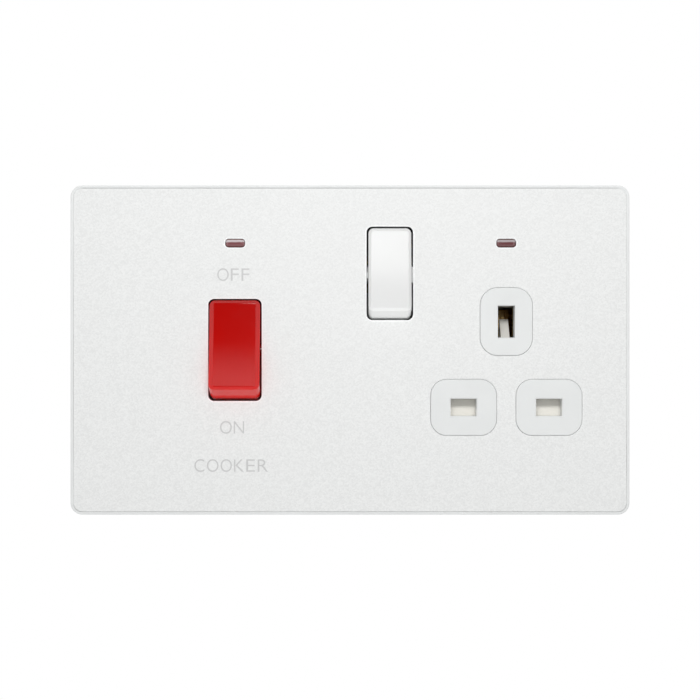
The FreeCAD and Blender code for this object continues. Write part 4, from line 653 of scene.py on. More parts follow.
@dataclass(frozen=True)
class PearlCoat:
    """Pearl powder coat on metal: fine bright flakes in a pale satin film."""

    shade: Triple = (0.785, 0.793, 0.787)
    flake_gain: float = 0.05
    flakes_per_metre: float = 2800.0
    orange_peel: float = 1800.0
    roughness: Pair = (0.3, 0.42)
    relief: Pair = (0.00001, 0.12)

    def material(self) -> Material:
        """Build the coat's material."""
        shader = Shader("pearl_coat")
        shader.set(Specular_IOR_Level=0.5)
        flake = shader.flakes(self.flakes_per_metre)
        dark = [c * (1 - self.flake_gain) for c in self.shade]
        light = [min(c * (1 + self.flake_gain), 1.0) for c in self.shade]
        shader.colour(shader.ramp(flake, dark, light, 0.0, 1.0))
        shader.rough(shader.spread(flake, *self.roughness))
        return shader.bump(shader.noise(self.orange_peel, 3.0), *self.relief).material


@dataclass(frozen=True)
class PaintedEdgeHighlight:
    """Painted highlight: brighter colour on the rounded cut edges of the coated sheet, standing in for the
    light that they catch.
    """

    # painted highlight: a shade well above the pearl coat's own
    shade: Triple = (0.93, 0.94, 0.94)
    dullest: float = 0.97
    tone_scale: float = 900.0
    gloss_scale: float = 1800.0
    roughness: Pair = (0.2, 0.32)

    def material(self) -> Material:
        """Build the edge's painted-highlight material."""
        shader = Shader("coat_edge_painted_highlight")
        shader.set(Coat_Weight=0.5, Coat_Roughness=0.1)
        dull = [c * self.dullest for c in self.shade]
        shader.colour(shader.ramp(shader.noise(self.tone_scale, 3.0), dull, self.shade))
        return shader.rough(shader.spread(shader.noise(self.gloss_scale), *self.roughness)).material


@dataclass(frozen=True)
class GlossMoulding:
    """Polished thermoplastic or thermoset, with faint flow marks."""

    name: str
    shade: Triple
    roughness: float = 0.22
    variation: float = 0.02
    # painted shade along the height, between the two heights of span
    fade: float = 0.0
    span: Pair = (-0.012, 0.012)
    flow_scale: float = 90.0
    gloss_scale: float = 400.0
    ripple_scale: float = 1500.0
    shares: Pair = (0.85, 1.2)
    relief: Pair = (0.00001, 0.06)

    def material(self) -> Material:
        """Build the moulding's material, whose painted shade may fade it a little from its lower to its upper
        end.
        """
        shader = Shader(self.name)
        gains = (1 - self.variation, 1 + self.variation)
        shader.clouded(shader.noise(self.flow_scale, 3.0), self.shade, gains, self.fade, self.span)
        shader.uneven(shader.noise(self.gloss_scale, 3.0), self.roughness, self.shares)
        return shader.bump(shader.noise(self.ripple_scale), *self.relief).material


@dataclass(frozen=True)
class SparkMoulding:
    """Matt moulding with the fine sparked grain of its tool."""

    name: str
    shade: Triple
    grain: float = 3500.0
    roughness: float = 0.5
    gains: Pair = (0.95, 1.03)
    # painted shade along the height, between the two heights of span
    fade: float = 0.0
    span: Pair = (-0.012, 0.012)
    cloud_scale: float = 60.0
    shares: Pair = (0.85, 1.15)
    relief: Pair = (0.00004, 0.35)

    def material(self) -> Material:
        """Build the moulding's material, whose painted shade may fade it a little from its lower to its upper
        end.
        """
        shader = Shader(self.name)
        grain = shader.noise(self.grain, 4.0)
        shader.clouded(shader.noise(self.cloud_scale, 4.0), self.shade, self.gains, self.fade, self.span)
        shader.uneven(grain, self.roughness, self.shares)
        return shader.bump(grain, *self.relief).material


@dataclass(frozen=True)
class RolledMetal:
    """Bare or plated metal with rolling streaks and small stains."""

    name: str
    shade: Triple
    stain: Triple
    roughness: float = 0.3
    streak: Triple = (1.0, 1.0, 14.0)
    streak_scale: float = 500.0
    stain_scale: float = 120.0
    stain_span: Pair = (0.35, 0.75)
    shares: Pair = (0.7, 1.4)
    relief: Pair = (0.00002, 0.2)

    def material(self) -> Material:
        """Build the metal's material."""
        shader = Shader(self.name)
        shader.set(Metallic=1.0)
        stains = shader.noise(self.stain_scale, 5.0)
        shader.colour(shader.ramp(stains, self.shade, self.stain, *self.stain_span))
        streaks = shader.noise(self.streak_scale, 4.0, self.streak)
        shader.uneven(streaks, self.roughness, self.shares)
        return shader.bump(streaks, *self.relief).material


@dataclass(frozen=True)
class TintedLens:
    """Red-brown moulding over a neon lamp, with a painted highlight across its upper part and painted shade
    at its foot, darker on the right of the unit.
    """

    centre_z: float = 27.9 * MM
    half_height: float = 1.1 * MM
    # darker tone at the lens's top edge
    edge: Triple = (0.20, 0.10, 0.09)
    # painted highlight across the lens's upper part
    painted_highlight_band: Triple = (0.52, 0.46, 0.47)
    middle: Triple = (0.20, 0.075, 0.08)
    # painted shade at the lens's foot
    painted_shade_foot: Triple = (0.09, 0.008, 0.006)
    gains: Pair = (1.1, 0.8)
    span: Pair = (-0.03, 0.041)
    waver: float = 0.12
    cloud_scale: float = 700.0

    def material(self) -> Material:
        """Build the lens material."""
        shader = Shader("tinted_lens")
        shader.set(Roughness=0.08, Coat_Weight=0.8, Coat_Roughness=0.05, IOR=1.49)
        height = shader.along("Z", self.centre_z - self.half_height, self.centre_z + self.half_height)
        cloud = shader.noise(self.cloud_scale)
        waver = shader.node("ShaderNodeMath", {"operation": "MULTIPLY_ADD"})
        for target, value in zip(waver.inputs, (cloud, self.waver, height)):
            shader.feed(target, value)
        # from the bottom up: painted shade, the lens's own tone, painted highlight, darker top edge
        marks = ((0.12, self.painted_shade_foot), (0.34, self.middle), (0.62, self.middle), (0.76, self.painted_highlight_band),
                 (0.9, self.painted_highlight_band), (1.0, self.edge))
        tones = []
        for gain in self.gains:
            scaled = [(place, tuple(c * gain for c in shade)) for place, shade in marks]
            tones.append(shader.stops(waver.outputs[0], scaled))
        return shader.colour(shader.mixed(shader.along("X", *self.span), *tones)).material


@dataclass(frozen=True)
class LampGlass:
    """Clear glass of a small neon tube."""

    clear: Triple = (0.9, 0.86, 0.8)
    smoked: Triple = (0.8, 0.7, 0.62)
    smoke_scale: float = 300.0
    smoke_span: Pair = (0.3, 0.8)

    def material(self) -> Material:
        """Build the glass material."""
        shader = Shader("neon_glass")
        shader.set(Roughness=0.04, Transmission_Weight=0.9, IOR=1.45)
        tint = shader.ramp(shader.noise(self.smoke_scale), self.clear, self.smoked, *self.smoke_span)
        return shader.colour(tint).material


@dataclass(frozen=True)
class PrintInk:
    """Pale grey printed legend with slightly uneven ink."""

    shade: Triple = (0.575, 0.575, 0.575)
    palest: float = 1.06
    scale: float = 2500.0

    def material(self) -> Material:
        """Build the ink material."""
        shader = Shader("print_ink")
        shader.set(Roughness=0.5)
        pale = [c * self.palest for c in self.shade]
        return shader.colour(shader.ramp(shader.noise(self.scale), self.shade, pale)).material


class Finishes:
    """Every material of the unit, made once."""

    def __init__(self) -> None:
        """Build the materials by slot."""
        looks = {
            Slot.PLATE: PearlCoat(),
            Slot.WHITE: GlossMoulding("white_moulding", (0.80, 0.815, 0.81), 0.3),
            # painted shade: the red is lightened towards the rocker's lower end and darkened towards its
            # upper end
            Slot.RED_ROCKER: GlossMoulding("red_moulding", (0.435, 0.0022, 0.001), 0.1, 0.03, fade=0.09),
            # painted shade: the white is darkened towards the rocker's lower end and lightened towards its
            # upper end
            Slot.WHITE_ROCKER: GlossMoulding("rocker_moulding", (0.712, 0.717, 0.712), 0.16, 0.01,
                                             fade=-0.04, span=(0.010, 0.030)),
            Slot.HOUSING: SparkMoulding("housing_moulding", (0.70, 0.70, 0.67)),
            Slot.STEEL: RolledMetal("zinc_sheet", (0.62, 0.62, 0.60), (0.50, 0.51, 0.53), 0.32),
            Slot.BRASS: RolledMetal("brass_strip", (0.72, 0.50, 0.22), (0.50, 0.32, 0.13), 0.28),
            Slot.SCREW: RolledMetal("nickel_screw", (0.66, 0.64, 0.60), (0.50, 0.48, 0.44), 0.2),
            Slot.SPRING: RolledMetal("spring_wire", (0.50, 0.50, 0.50), (0.36, 0.35, 0.34), 0.3),
            Slot.PLUNGER: SparkMoulding("plunger_moulding", (0.72, 0.70, 0.62), 2500.0, 0.42),
            # painted light and shade: the line shutters low down are lightened and the earth tongue higher up
            # is darkened, as if deeper in shadow
            Slot.SHUTTER: SparkMoulding("shutter_moulding", (0.79, 0.767, 0.71), 2500.0, 0.4, fade=0.10,
                                        span=(-0.012, 0.003)),
            Slot.LENS: TintedLens(),
            Slot.GLASS: LampGlass(),
            Slot.RESISTOR: SparkMoulding("resistor_lacquer", (0.45, 0.30, 0.14), 1800.0, 0.35),
        }
        self.by_slot: dict[Slot, Material] = {slot: look.material() for slot, look in looks.items()}
        self.ink = PrintInk().material()
        # painted highlight for the edges of the rocker openings and neon windows
        self.edge = PaintedEdgeHighlight().material()

    def dress(self, piece: Piece, slot: Slot, body: str,
              second: Material | None = None) -> Piece:
        """Give a new piece its finish and its body.

        Args:
            piece: finished object at the origin.
            slot: the finish.
            body: name of the body it rides on.
            second: finish of the faces with material index 1.

        Returns:
            The same object.
        """
        indices = [polygon.material_index for polygon in piece.data.polygons]
        piece.data.materials.clear()
        piece.data.materials.append(self.by_slot[slot])
        if second:
            piece.data.materials.append(second)
            piece.data.polygons.foreach_set("material_index", indices)
        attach(piece, body)
        return piece


@dataclass
class FrontPlate:
    """The pearl metal plate, with openings for the islands, the rockers and the neon windows."""

    finishes: Finishes
    corner: float = 2.35 * MM
    edge: float = 0.2 * MM
    lip: float = 0.12 * MM
    island_gap: float = 0.055 * MM
    # rocker openings and neon windows; their edges and lip carry the painted highlight
    openings: tuple[RoundedRect, ...] = (
        RoundedRect(-30.05 * MM, 0, 13.9 * MM, 26.6 * MM, 1.5 * MM),
        RoundedRect(10.4 * MM, 20.0 * MM, 12.1 * MM, 24.4 * MM, 1.5 * MM),
        RoundedRect(-30.0 * MM, 27.9 * MM, 5.15 * MM, 2.25 * MM, 0.85 * MM),
        RoundedRect(40.8 * MM, 27.9 * MM, 5.15 * MM, 2.25 * MM, 0.85 * MM),
    )

    def outline(self) -> RoundedRect:
        """Outline of the sheet, from the CAD node's own box."""
        low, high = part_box("front_plate")
        middle = (low + high) / 2
        return RoundedRect(middle.x, middle.z, high.x - low.x, high.z - low.z, self.corner)

    def pads(self) -> list[RoundedRect]:
        """Openings that the islands fill."""
        gap = 2 * self.island_gap
        found = []
        for pad in SocketSizes().islands():
            found.append(RoundedRect(pad.x, pad.z, pad.width + gap, pad.height + gap,
                                     pad.radius + self.island_gap))
        return found

    def build(self) -> list[Piece]:
        """Make the plate and dress it."""
        low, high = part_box("front_plate")
        plate = MeshWork.pierced_slab("pearl_plate", self.outline(), self.pads(), self.openings, low.y,
                                      high.y, self.edge, self.lip)
        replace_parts(plate, "front_plate")
        # the second material is the painted edge highlight
        return [self.finishes.dress(plate, Slot.PLATE, ROOT, self.finishes.edge)]


@dataclass(frozen=True)
class SocketSizes:
    """Places and sizes of the three islands."""

    centre_x: float = 40.81 * MM
    pitch: float = 22.3 * MM
    line_z: float = -15.0 * MM
    earth_z: float = 7.4 * MM

    def islands(self) -> list[RoundedRect]:
        """Outlines of the earth, neutral and live islands."""
        pads = [RoundedRect(self.centre_x, self.earth_z, 13.7 * MM, 17.75 * MM, 4.6 * MM)]
        for side in (-1, 1):
            x = self.centre_x + side * self.pitch / 2
            pads.append(RoundedRect(x, self.line_z, 17.3 * MM, 14.7 * MM, 4.3 * MM))
        return pads


@dataclass
class Legends:
    """Printed switch words on the plate."""

    finishes: Finishes
    proud: float = 0.012 * MM
    cap_height: float = 3.2 * MM
    round_letters: str = "CO"
    overshoot: float = 1.04
    weight: float = -0.008
    curve_steps: int = 6
    words: tuple[tuple[str, float, tuple[Pair, ...]], ...] = (
        ("OFF", 19.68, ((-34.66, -31.66), (-31.14, -29.05), (-28.33, -26.27))),
        ("ON", -20.2, ((-33.94, -30.84), (-30.35, -27.65))),
        ("COOKER", -30.16, ((-40.63, -38.02), (-37.36, -34.33), (-33.79, -30.84), (-30.29, -27.74),
                            (-27.09, -24.80), (-24.09, -21.44))),
    )

    def build(self) -> list[Piece]:
        """Make each word as a thin film on the plate."""
        return [self.word(*entry) for entry in self.words]

    def word(self, text: str, z: float, spans: Sequence[Pair]) -> Piece:
        """One printed word.

        Args:
            text: the word.
            z: centre height in millimetres.
            spans: left and right end of each letter in millimetres.

        Returns:
            The finished object.
        """
        bm = bmesh.new()
        for letter, (left, right) in zip(text, spans):
            mesh = self.flat_letter(letter)
            height = self.cap_height * (self.overshoot if letter in self.round_letters else 1.0)
            self.place(mesh, Vector(((left + right) / 2 * MM, z * MM)), (right - left) * MM, height)
            bm.from_mesh(mesh)
            bpy.data.meshes.remove(mesh)
        bmesh.ops.remove_doubles(bm, verts=bm.verts, dist=MERGE)
        MeshWork.turn(bm.faces, -1)
        piece = MeshWork.to_object(bm, "legend_" + text.lower(), outward=False)
        piece.data.materials.append(self.finishes.ink)
        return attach(piece, ROOT)

    def flat_letter(self, letter: str) -> bpy.types.Mesh:
        """Mesh of one letter in its own plane."""
        curve = bpy.data.curves.new("letter_" + letter.lower(), "FONT")
        curve.body = letter
        curve.offset = self.weight
        curve.resolution_u = self.curve_steps
        source = MeshWork.added(curve.name, curve)
        graph = bpy.context.evaluated_depsgraph_get()
        mesh = bpy.data.meshes.new_from_object(source.evaluated_get(graph), depsgraph=graph)
        bpy.data.objects.remove(source)
        mesh.materials.clear()
        return mesh

    def place(self, mesh: bpy.types.Mesh, centre: Vector, width: float, height: float) -> None:
        """Scale a flat letter to its printed size and stand it on the plate.

        Args:
            mesh: the letter, flat in its own plane.
            centre: centre across and up.
            width: printed width.
            height: printed height.
        """
        film_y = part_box("front_plate")[0].y - self.proud
        xs = [v.co.x for v in mesh.vertices]
        ys = [v.co.y for v in mesh.vertices]
        middle = Vector(((max(xs) + min(xs)) / 2, (max(ys) + min(ys)) / 2))
        for vertex in mesh.vertices:
            across = (vertex.co.x - middle.x) * width / (max(xs) - min(xs))
            up = (vertex.co.y - middle.y) * height / (max(ys) - min(ys))
            vertex.co = Vector((centre.x + across, film_y, centre.y + up))


@dataclass
class PivotBosses:
    """Moulded bearing bosses that show in the gaps beside a rocker, just behind the plate."""

    finishes: Finishes
    front: float = -5.14 * MM
    back: float = -4.1 * MM
    edge: float = 0.12 * MM
    places: tuple[RoundedRect, ...] = (
        RoundedRect(16.33 * MM, 19.7 * MM, 0.62 * MM, 4.2 * MM, 0.2 * MM),
        RoundedRect(4.47 * MM, 19.5 * MM, 0.62 * MM, 1.6 * MM, 0.2 * MM),
        RoundedRect(-23.11 * MM, 0.3 * MM, 0.62 * MM, 0.4 * MM, 0.15 * MM),
    )

    def build(self) -> list[Piece]:
        """Make the bosses as one piece."""
        bm = bmesh.new()
        for place in self.places:
            rings = [MeshWork.ring(bm, place.points(self.edge), self.front)]
            rings.append(MeshWork.ring(bm, place.points(), self.front + self.edge))
            rings.append(MeshWork.ring(bm, place.points(), self.back))
            MeshWork.closed(bm, rings)
        piece = MeshWork.settle(MeshWork.to_object(bm, "pivot_bosses"))
        return [self.finishes.dress(piece, Slot.WHITE, ROOT)]


@dataclass(frozen=True)
class RockerSizes:
    """Sizes of a rocker about its pivot; radii and angles give the corners of its level section."""

    width: float
    face_r: float
    face_angle: float
    brow_r: float
    brow_angle: float
    skirt_r: float
    throw: float
    back_depth: float
    stub_r: float
    guides: tuple[float, ...]
    border: float
    skirt_angle: float = 77.5
    dish: float = 0.55


@dataclass
class Rocker:
    """A rocker: dished face, sloped rounded ends, hollow back, pivot stubs and guide tubes."""

    finishes: Finishes
    node: str
    slot: Slot
    joint: str
    sizes: RockerSizes
    corner: float = 1.4 * MM
    least_corner: float = 0.1 * MM
    border_fall: float = 0.6 * MM
    border_curve: float = 1.3
    roundings: Triple = (0.35 * MM, 0.5 * MM, 0.45 * MM)
    finest: float = 0.3 * MM
    wall: float = 1.4 * MM
    side_steps: int = 40
    guide_r: float = 2.5 * MM
    guide_bore_r: float = 1.7 * MM
    guide_reach: float = 5.5 * MM
    stub_reach: float = 1.5 * MM
    bevel: float = 0.2 * MM
    guide_root: float = 0.3 * MM
    bore_ceiling: float = 0.5 * MM
    skirt_drop: float = 1.2 * MM
    face_margin: float = 0.8 * MM
    hollow_draft: float = 0.8 * MM
    skirt_rings: int = 6
    sharp: float = math.radians(40)
    pivot: Vector = field(default_factory=Vector)

    def __post_init__(self) -> None:
        """Read the pivot from the joint."""
        self.pivot = Vector(joint_named(self.joint)["pos_m"])

    def polar(self, radius: float, degrees: float) -> Pair:
        """Half height and depth of a point of the level section."""
        angle = math.radians(degrees)
        return radius * math.sin(angle), radius * math.cos(angle)

    def face_depth(self, z: float) -> float:
        """Depth in front of the pivot of the dished face at a height."""
        half, depth = self.polar(self.sizes.face_r, self.sizes.face_angle)
        sag = self.sizes.dish * half * math.tan(math.radians(self.sizes.throw / 4))
        arc_r = (half * half + sag * sag) / (2 * sag)
        return depth - sag + arc_r - math.sqrt(max(arc_r * arc_r - z * z, 0.0))

    def end_profile(self) -> list[Pair]:
        """Half heights and depths up one end, from the skirt's top to the face."""
        sizes = self.sizes
        skirt = self.polar(sizes.skirt_r, sizes.skirt_angle)
        brow = self.polar(sizes.brow_r, sizes.brow_angle)
        face = self.polar(sizes.face_r, sizes.face_angle)
        low = skirt[1] - self.skirt_drop
        below = (math.sqrt(sizes.skirt_r ** 2 - low ** 2), low)
        inset = face[0] - self.face_margin
        inner = (inset, self.face_depth(inset))
        corners = MeshWork.rounded_path([below, skirt, brow, face, inner], self.roundings)[1:-1]
        path = [corners[0]]
        for start, end in zip(corners, corners[1:]):
            pieces = max(1, math.ceil(math.dist(start, end) / self.finest))
            for step in range(1, pieces + 1):
                share = step / pieces
                path.append((start[0] + (end[0] - start[0]) * share, start[1] + (end[1] - start[1]) * share))
        return path

    def outline(self, half_h: float, inset: float) -> list[Pair]:
        """Ring of (x, z) points with subdivided sides, from the lower right corner anticlockwise.

        Args:
            half_h: half height of the ring.
            inset: distance that its sides are drawn in.

        Returns:
            The ring, mirrored left and right.
        """
        half_w = self.sizes.width / 2 - inset
        radius = max(self.corner - inset, self.least_corner)
        low = radius - half_h
        right = []
        for step in range(ARC_STEPS + 1):
            angle = -math.pi / 2 * (1 - step / ARC_STEPS)
            right.append((half_w - radius + radius * math.cos(angle), low + radius * math.sin(angle)))
        for step in range(1, self.side_steps):
            right.append((half_w, low - 2 * low * step / self.side_steps))
        for x, z in reversed(right[:ARC_STEPS + 1]):
            right.append((x, -z))
        left = [(-x, z) for x, z in reversed(right)]
        return right + left

    def side_inset(self, drop: float) -> float:
        """How far a side is drawn in by its sloped border at a drop behind the face."""
        left = 1 - min(max(drop, 0.0) / self.border_fall, 1.0)
        return self.sizes.border * left ** self.border_curve

    def ring_on_face(self, bm: BMesh, half_h: float, drop: float) -> Ring:
        """Ring that follows the dished face, a drop behind it."""
        points = self.outline(half_h, self.side_inset(drop))
        return [bm.verts.new((x, drop - self.face_depth(z), z)) for x, z in points]

    def cap(self, bm: BMesh, ring: Ring) -> None:
        """Face across a ring in strips between its right and left sides."""
        half = len(ring) // 2
        right = ring[:half]
        left = list(reversed(ring[half:]))
        for i in range(half - 1):
            bm.faces.new((right[i], right[i + 1], left[i + 1], left[i]))

    def shell(self) -> Piece:
        """The hollow cap of the rocker, level."""
        bm = bmesh.new()
        sizes = self.sizes
        profile = self.end_profile()
        top = profile[0][1]
        rings = []
        for step in range(self.skirt_rings):
            depth = -sizes.back_depth + (top + sizes.back_depth) * step / self.skirt_rings
            half_h = math.sqrt(sizes.skirt_r ** 2 - depth ** 2)
            rings.append(MeshWork.ring(bm, self.outline(half_h, 0.0), -depth))
        for half_h, depth in profile:
            rings.append(self.ring_on_face(bm, half_h, self.face_depth(half_h) - depth))
        MeshWork.bridge(bm, rings)
        self.cap(bm, rings[-1])
        back_half = math.sqrt(sizes.skirt_r ** 2 - sizes.back_depth ** 2)
        ceiling = self.face_depth(0.0) - self.wall
        hollow = [
            rings[0],
            MeshWork.ring(bm, self.outline(back_half - self.wall, self.wall), sizes.back_depth),
            MeshWork.ring(bm, self.outline(back_half - self.wall - self.hollow_draft, self.wall), -ceiling),
        ]
        MeshWork.bridge(bm, hollow)
        self.cap(bm, hollow[-1])
        return MeshWork.to_object(bm, self.node + "_shell")

    def turned_parts(self, bm: BMesh) -> None:
        """Pivot stubs and guide tubes, added as closed forms."""
        half = self.sizes.width / 2
        stub_r = self.sizes.stub_r
        for side in (-1, 1):
            reach = [(stub_r, half - self.wall), (stub_r, half + self.stub_reach - self.bevel),
                     (stub_r - self.bevel, half + self.stub_reach)]
            MeshWork.spin(bm, reach, Vector((0, 0, 0)), Vector((side, 0, 0)))
        ceiling = self.face_depth(0.0) - self.wall - self.bevel
        for offset in self.sizes.guides:
            profile = [
                (self.guide_r, -ceiling - self.guide_root), (self.guide_r, self.guide_reach - self.bevel),
                (self.guide_r - self.bevel, self.guide_reach), (self.guide_bore_r, self.guide_reach),
                (self.guide_bore_r, -ceiling + self.bore_ceiling),
            ]
            MeshWork.spin(bm, profile, Vector((offset, 0, 0)), Vector((0, 1, 0)))

    def build(self) -> list[Piece]:
        """Make the rocker at its place, switched off, and dress it."""
        piece = self.shell()
        bm = bmesh.new()
        self.turned_parts(bm)
        bmesh.ops.recalc_face_normals(bm, faces=bm.faces)
        bm.from_mesh(piece.data)
        bm.to_mesh(piece.data)
        bm.free()
        tilt = Matrix.Rotation(math.radians(-self.sizes.throw / 2), 4, "X")
        piece.data.transform(Matrix.Translation(self.pivot) @ tilt)
        piece.name = self.node + "_moulding"
        MeshWork.settle(piece, self.sharp)
        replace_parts(piece, self.node)
        return [self.finishes.dress(piece, self.slot, self.node)]


@dataclass
class NeonLens:
    """Tinted lens with sloped borders and a pillowed face, and its flange behind the plate."""

    finishes: Finishes
    node: str
    flange: float = 1.0 * MM
    flange_depth: float = 0.8 * MM
    corner: float = 0.8 * MM
    sharp: float = math.radians(60)
    pillow: tuple[Pair, ...] = (
        (0.92, 0.0), (0.75, 0.015), (0.56, 0.05), (0.42, 0.095), (0.33, 0.14), (0.27, 0.19), (0.12, 0.3),
        (0.03, 0.4), (0.0, 0.52),
    )

    def build(self) -> list[Piece]:
        """Make the lens inside its CAD node's box."""
        low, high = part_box(self.node)
        centre_x = (low.x + high.x) / 2
        centre_z = (low.z + high.z) / 2
        width = high.x - low.x - 2 * self.flange
        height = high.z - low.z - 2 * self.flange
        pipe = RoundedRect(centre_x, centre_z, width, height, self.corner)
        skirt = RoundedRect(centre_x, centre_z, high.x - low.x, high.z - low.z, self.corner)
        flange_y = high.y - self.flange_depth
        bm = bmesh.new()
        rings = [MeshWork.ring(bm, pipe.points(inset * MM), low.y + drop * MM) for inset, drop in self.pillow]
        rings.append(MeshWork.ring(bm, pipe.points(), flange_y))
        rings.append(MeshWork.ring(bm, skirt.points(), flange_y))
        rings.append(MeshWork.ring(bm, skirt.points(), high.y))
        MeshWork.closed(bm, rings)
        piece = MeshWork.settle(MeshWork.to_object(bm, self.node + "_moulding"), self.sharp)
        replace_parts(piece, self.node)
        return [self.finishes.dress(piece, Slot.LENS, ROOT)]


class NodeTree(Graph):
    """A Geometry Nodes tree under construction."""

    def __init__(self, name: str) -> None:
        """Start a tree with a geometry input and output.

        Args:
            name: name of the tree.
        """
        super().__init__(bpy.data.node_groups.new(name, "GeometryNodeTree"))
        for way in ("INPUT", "OUTPUT"):
            self.tree.interface.new_socket("Geometry", in_out=way, socket_type="NodeSocketGeometry")
        self.start = self.node("NodeGroupInput")
        self.end = self.node("NodeGroupOutput")
        self.identifiers: dict[str, str] = {}

    def size(self, name: str, kind: str = "NodeSocketFloat") -> None:
        """Add a named input and remember its identifier."""
        socket = self.tree.interface.new_socket(name, in_out="INPUT", socket_type=kind)
        self.identifiers[name] = socket.identifier

    def given(self, name: str) -> Socket:
        """The socket inside the tree that carries a named input."""
        return self.start.outputs[name]

    def upwards(self, geometry: Socket, rise: object) -> Socket:
        """Geometry moved along Z."""
        shift = self.node("ShaderNodeCombineXYZ", Z=rise)
        return self.node("GeometryNodeTransform", Geometry=geometry, Translation=shift.outputs[0]).outputs[0]

    def joined(self, parts: Sequence[Socket]) -> Socket:
        """Several geometries as one."""
        made = self.tree.nodes.new("GeometryNodeJoinGeometry")
        for part in parts:
            self.tree.links.new(part, made.inputs[0])
        return made.outputs[0]

    def finish(self, geometry: Socket, material: Socket) -> None:
        """End the tree in real geometry with its material."""
        real = self.node("GeometryNodeRealizeInstances", Geometry=geometry).outputs[0]
        dressed = self.node("GeometryNodeSetMaterial", Geometry=real, Material=material).outputs[0]
        self.tree.links.new(dressed, self.end.inputs[0])

    def grown(self, piece: Piece, sizes: dict[str, object]) -> Piece:
        """Run the tree on an object and keep the result as its mesh.

        Args:
            piece: object whose mesh is the tree's geometry input.
            sizes: value of each named input.

        Returns:
            The same object, with no modifier.
        """
        modifier = piece.modifiers.new(self.tree.name, "NODES")
        modifier.node_group = self.tree
        for name, value in sizes.items():
            modifier[self.identifiers[name]] = value
        return MeshWork.bake(piece)


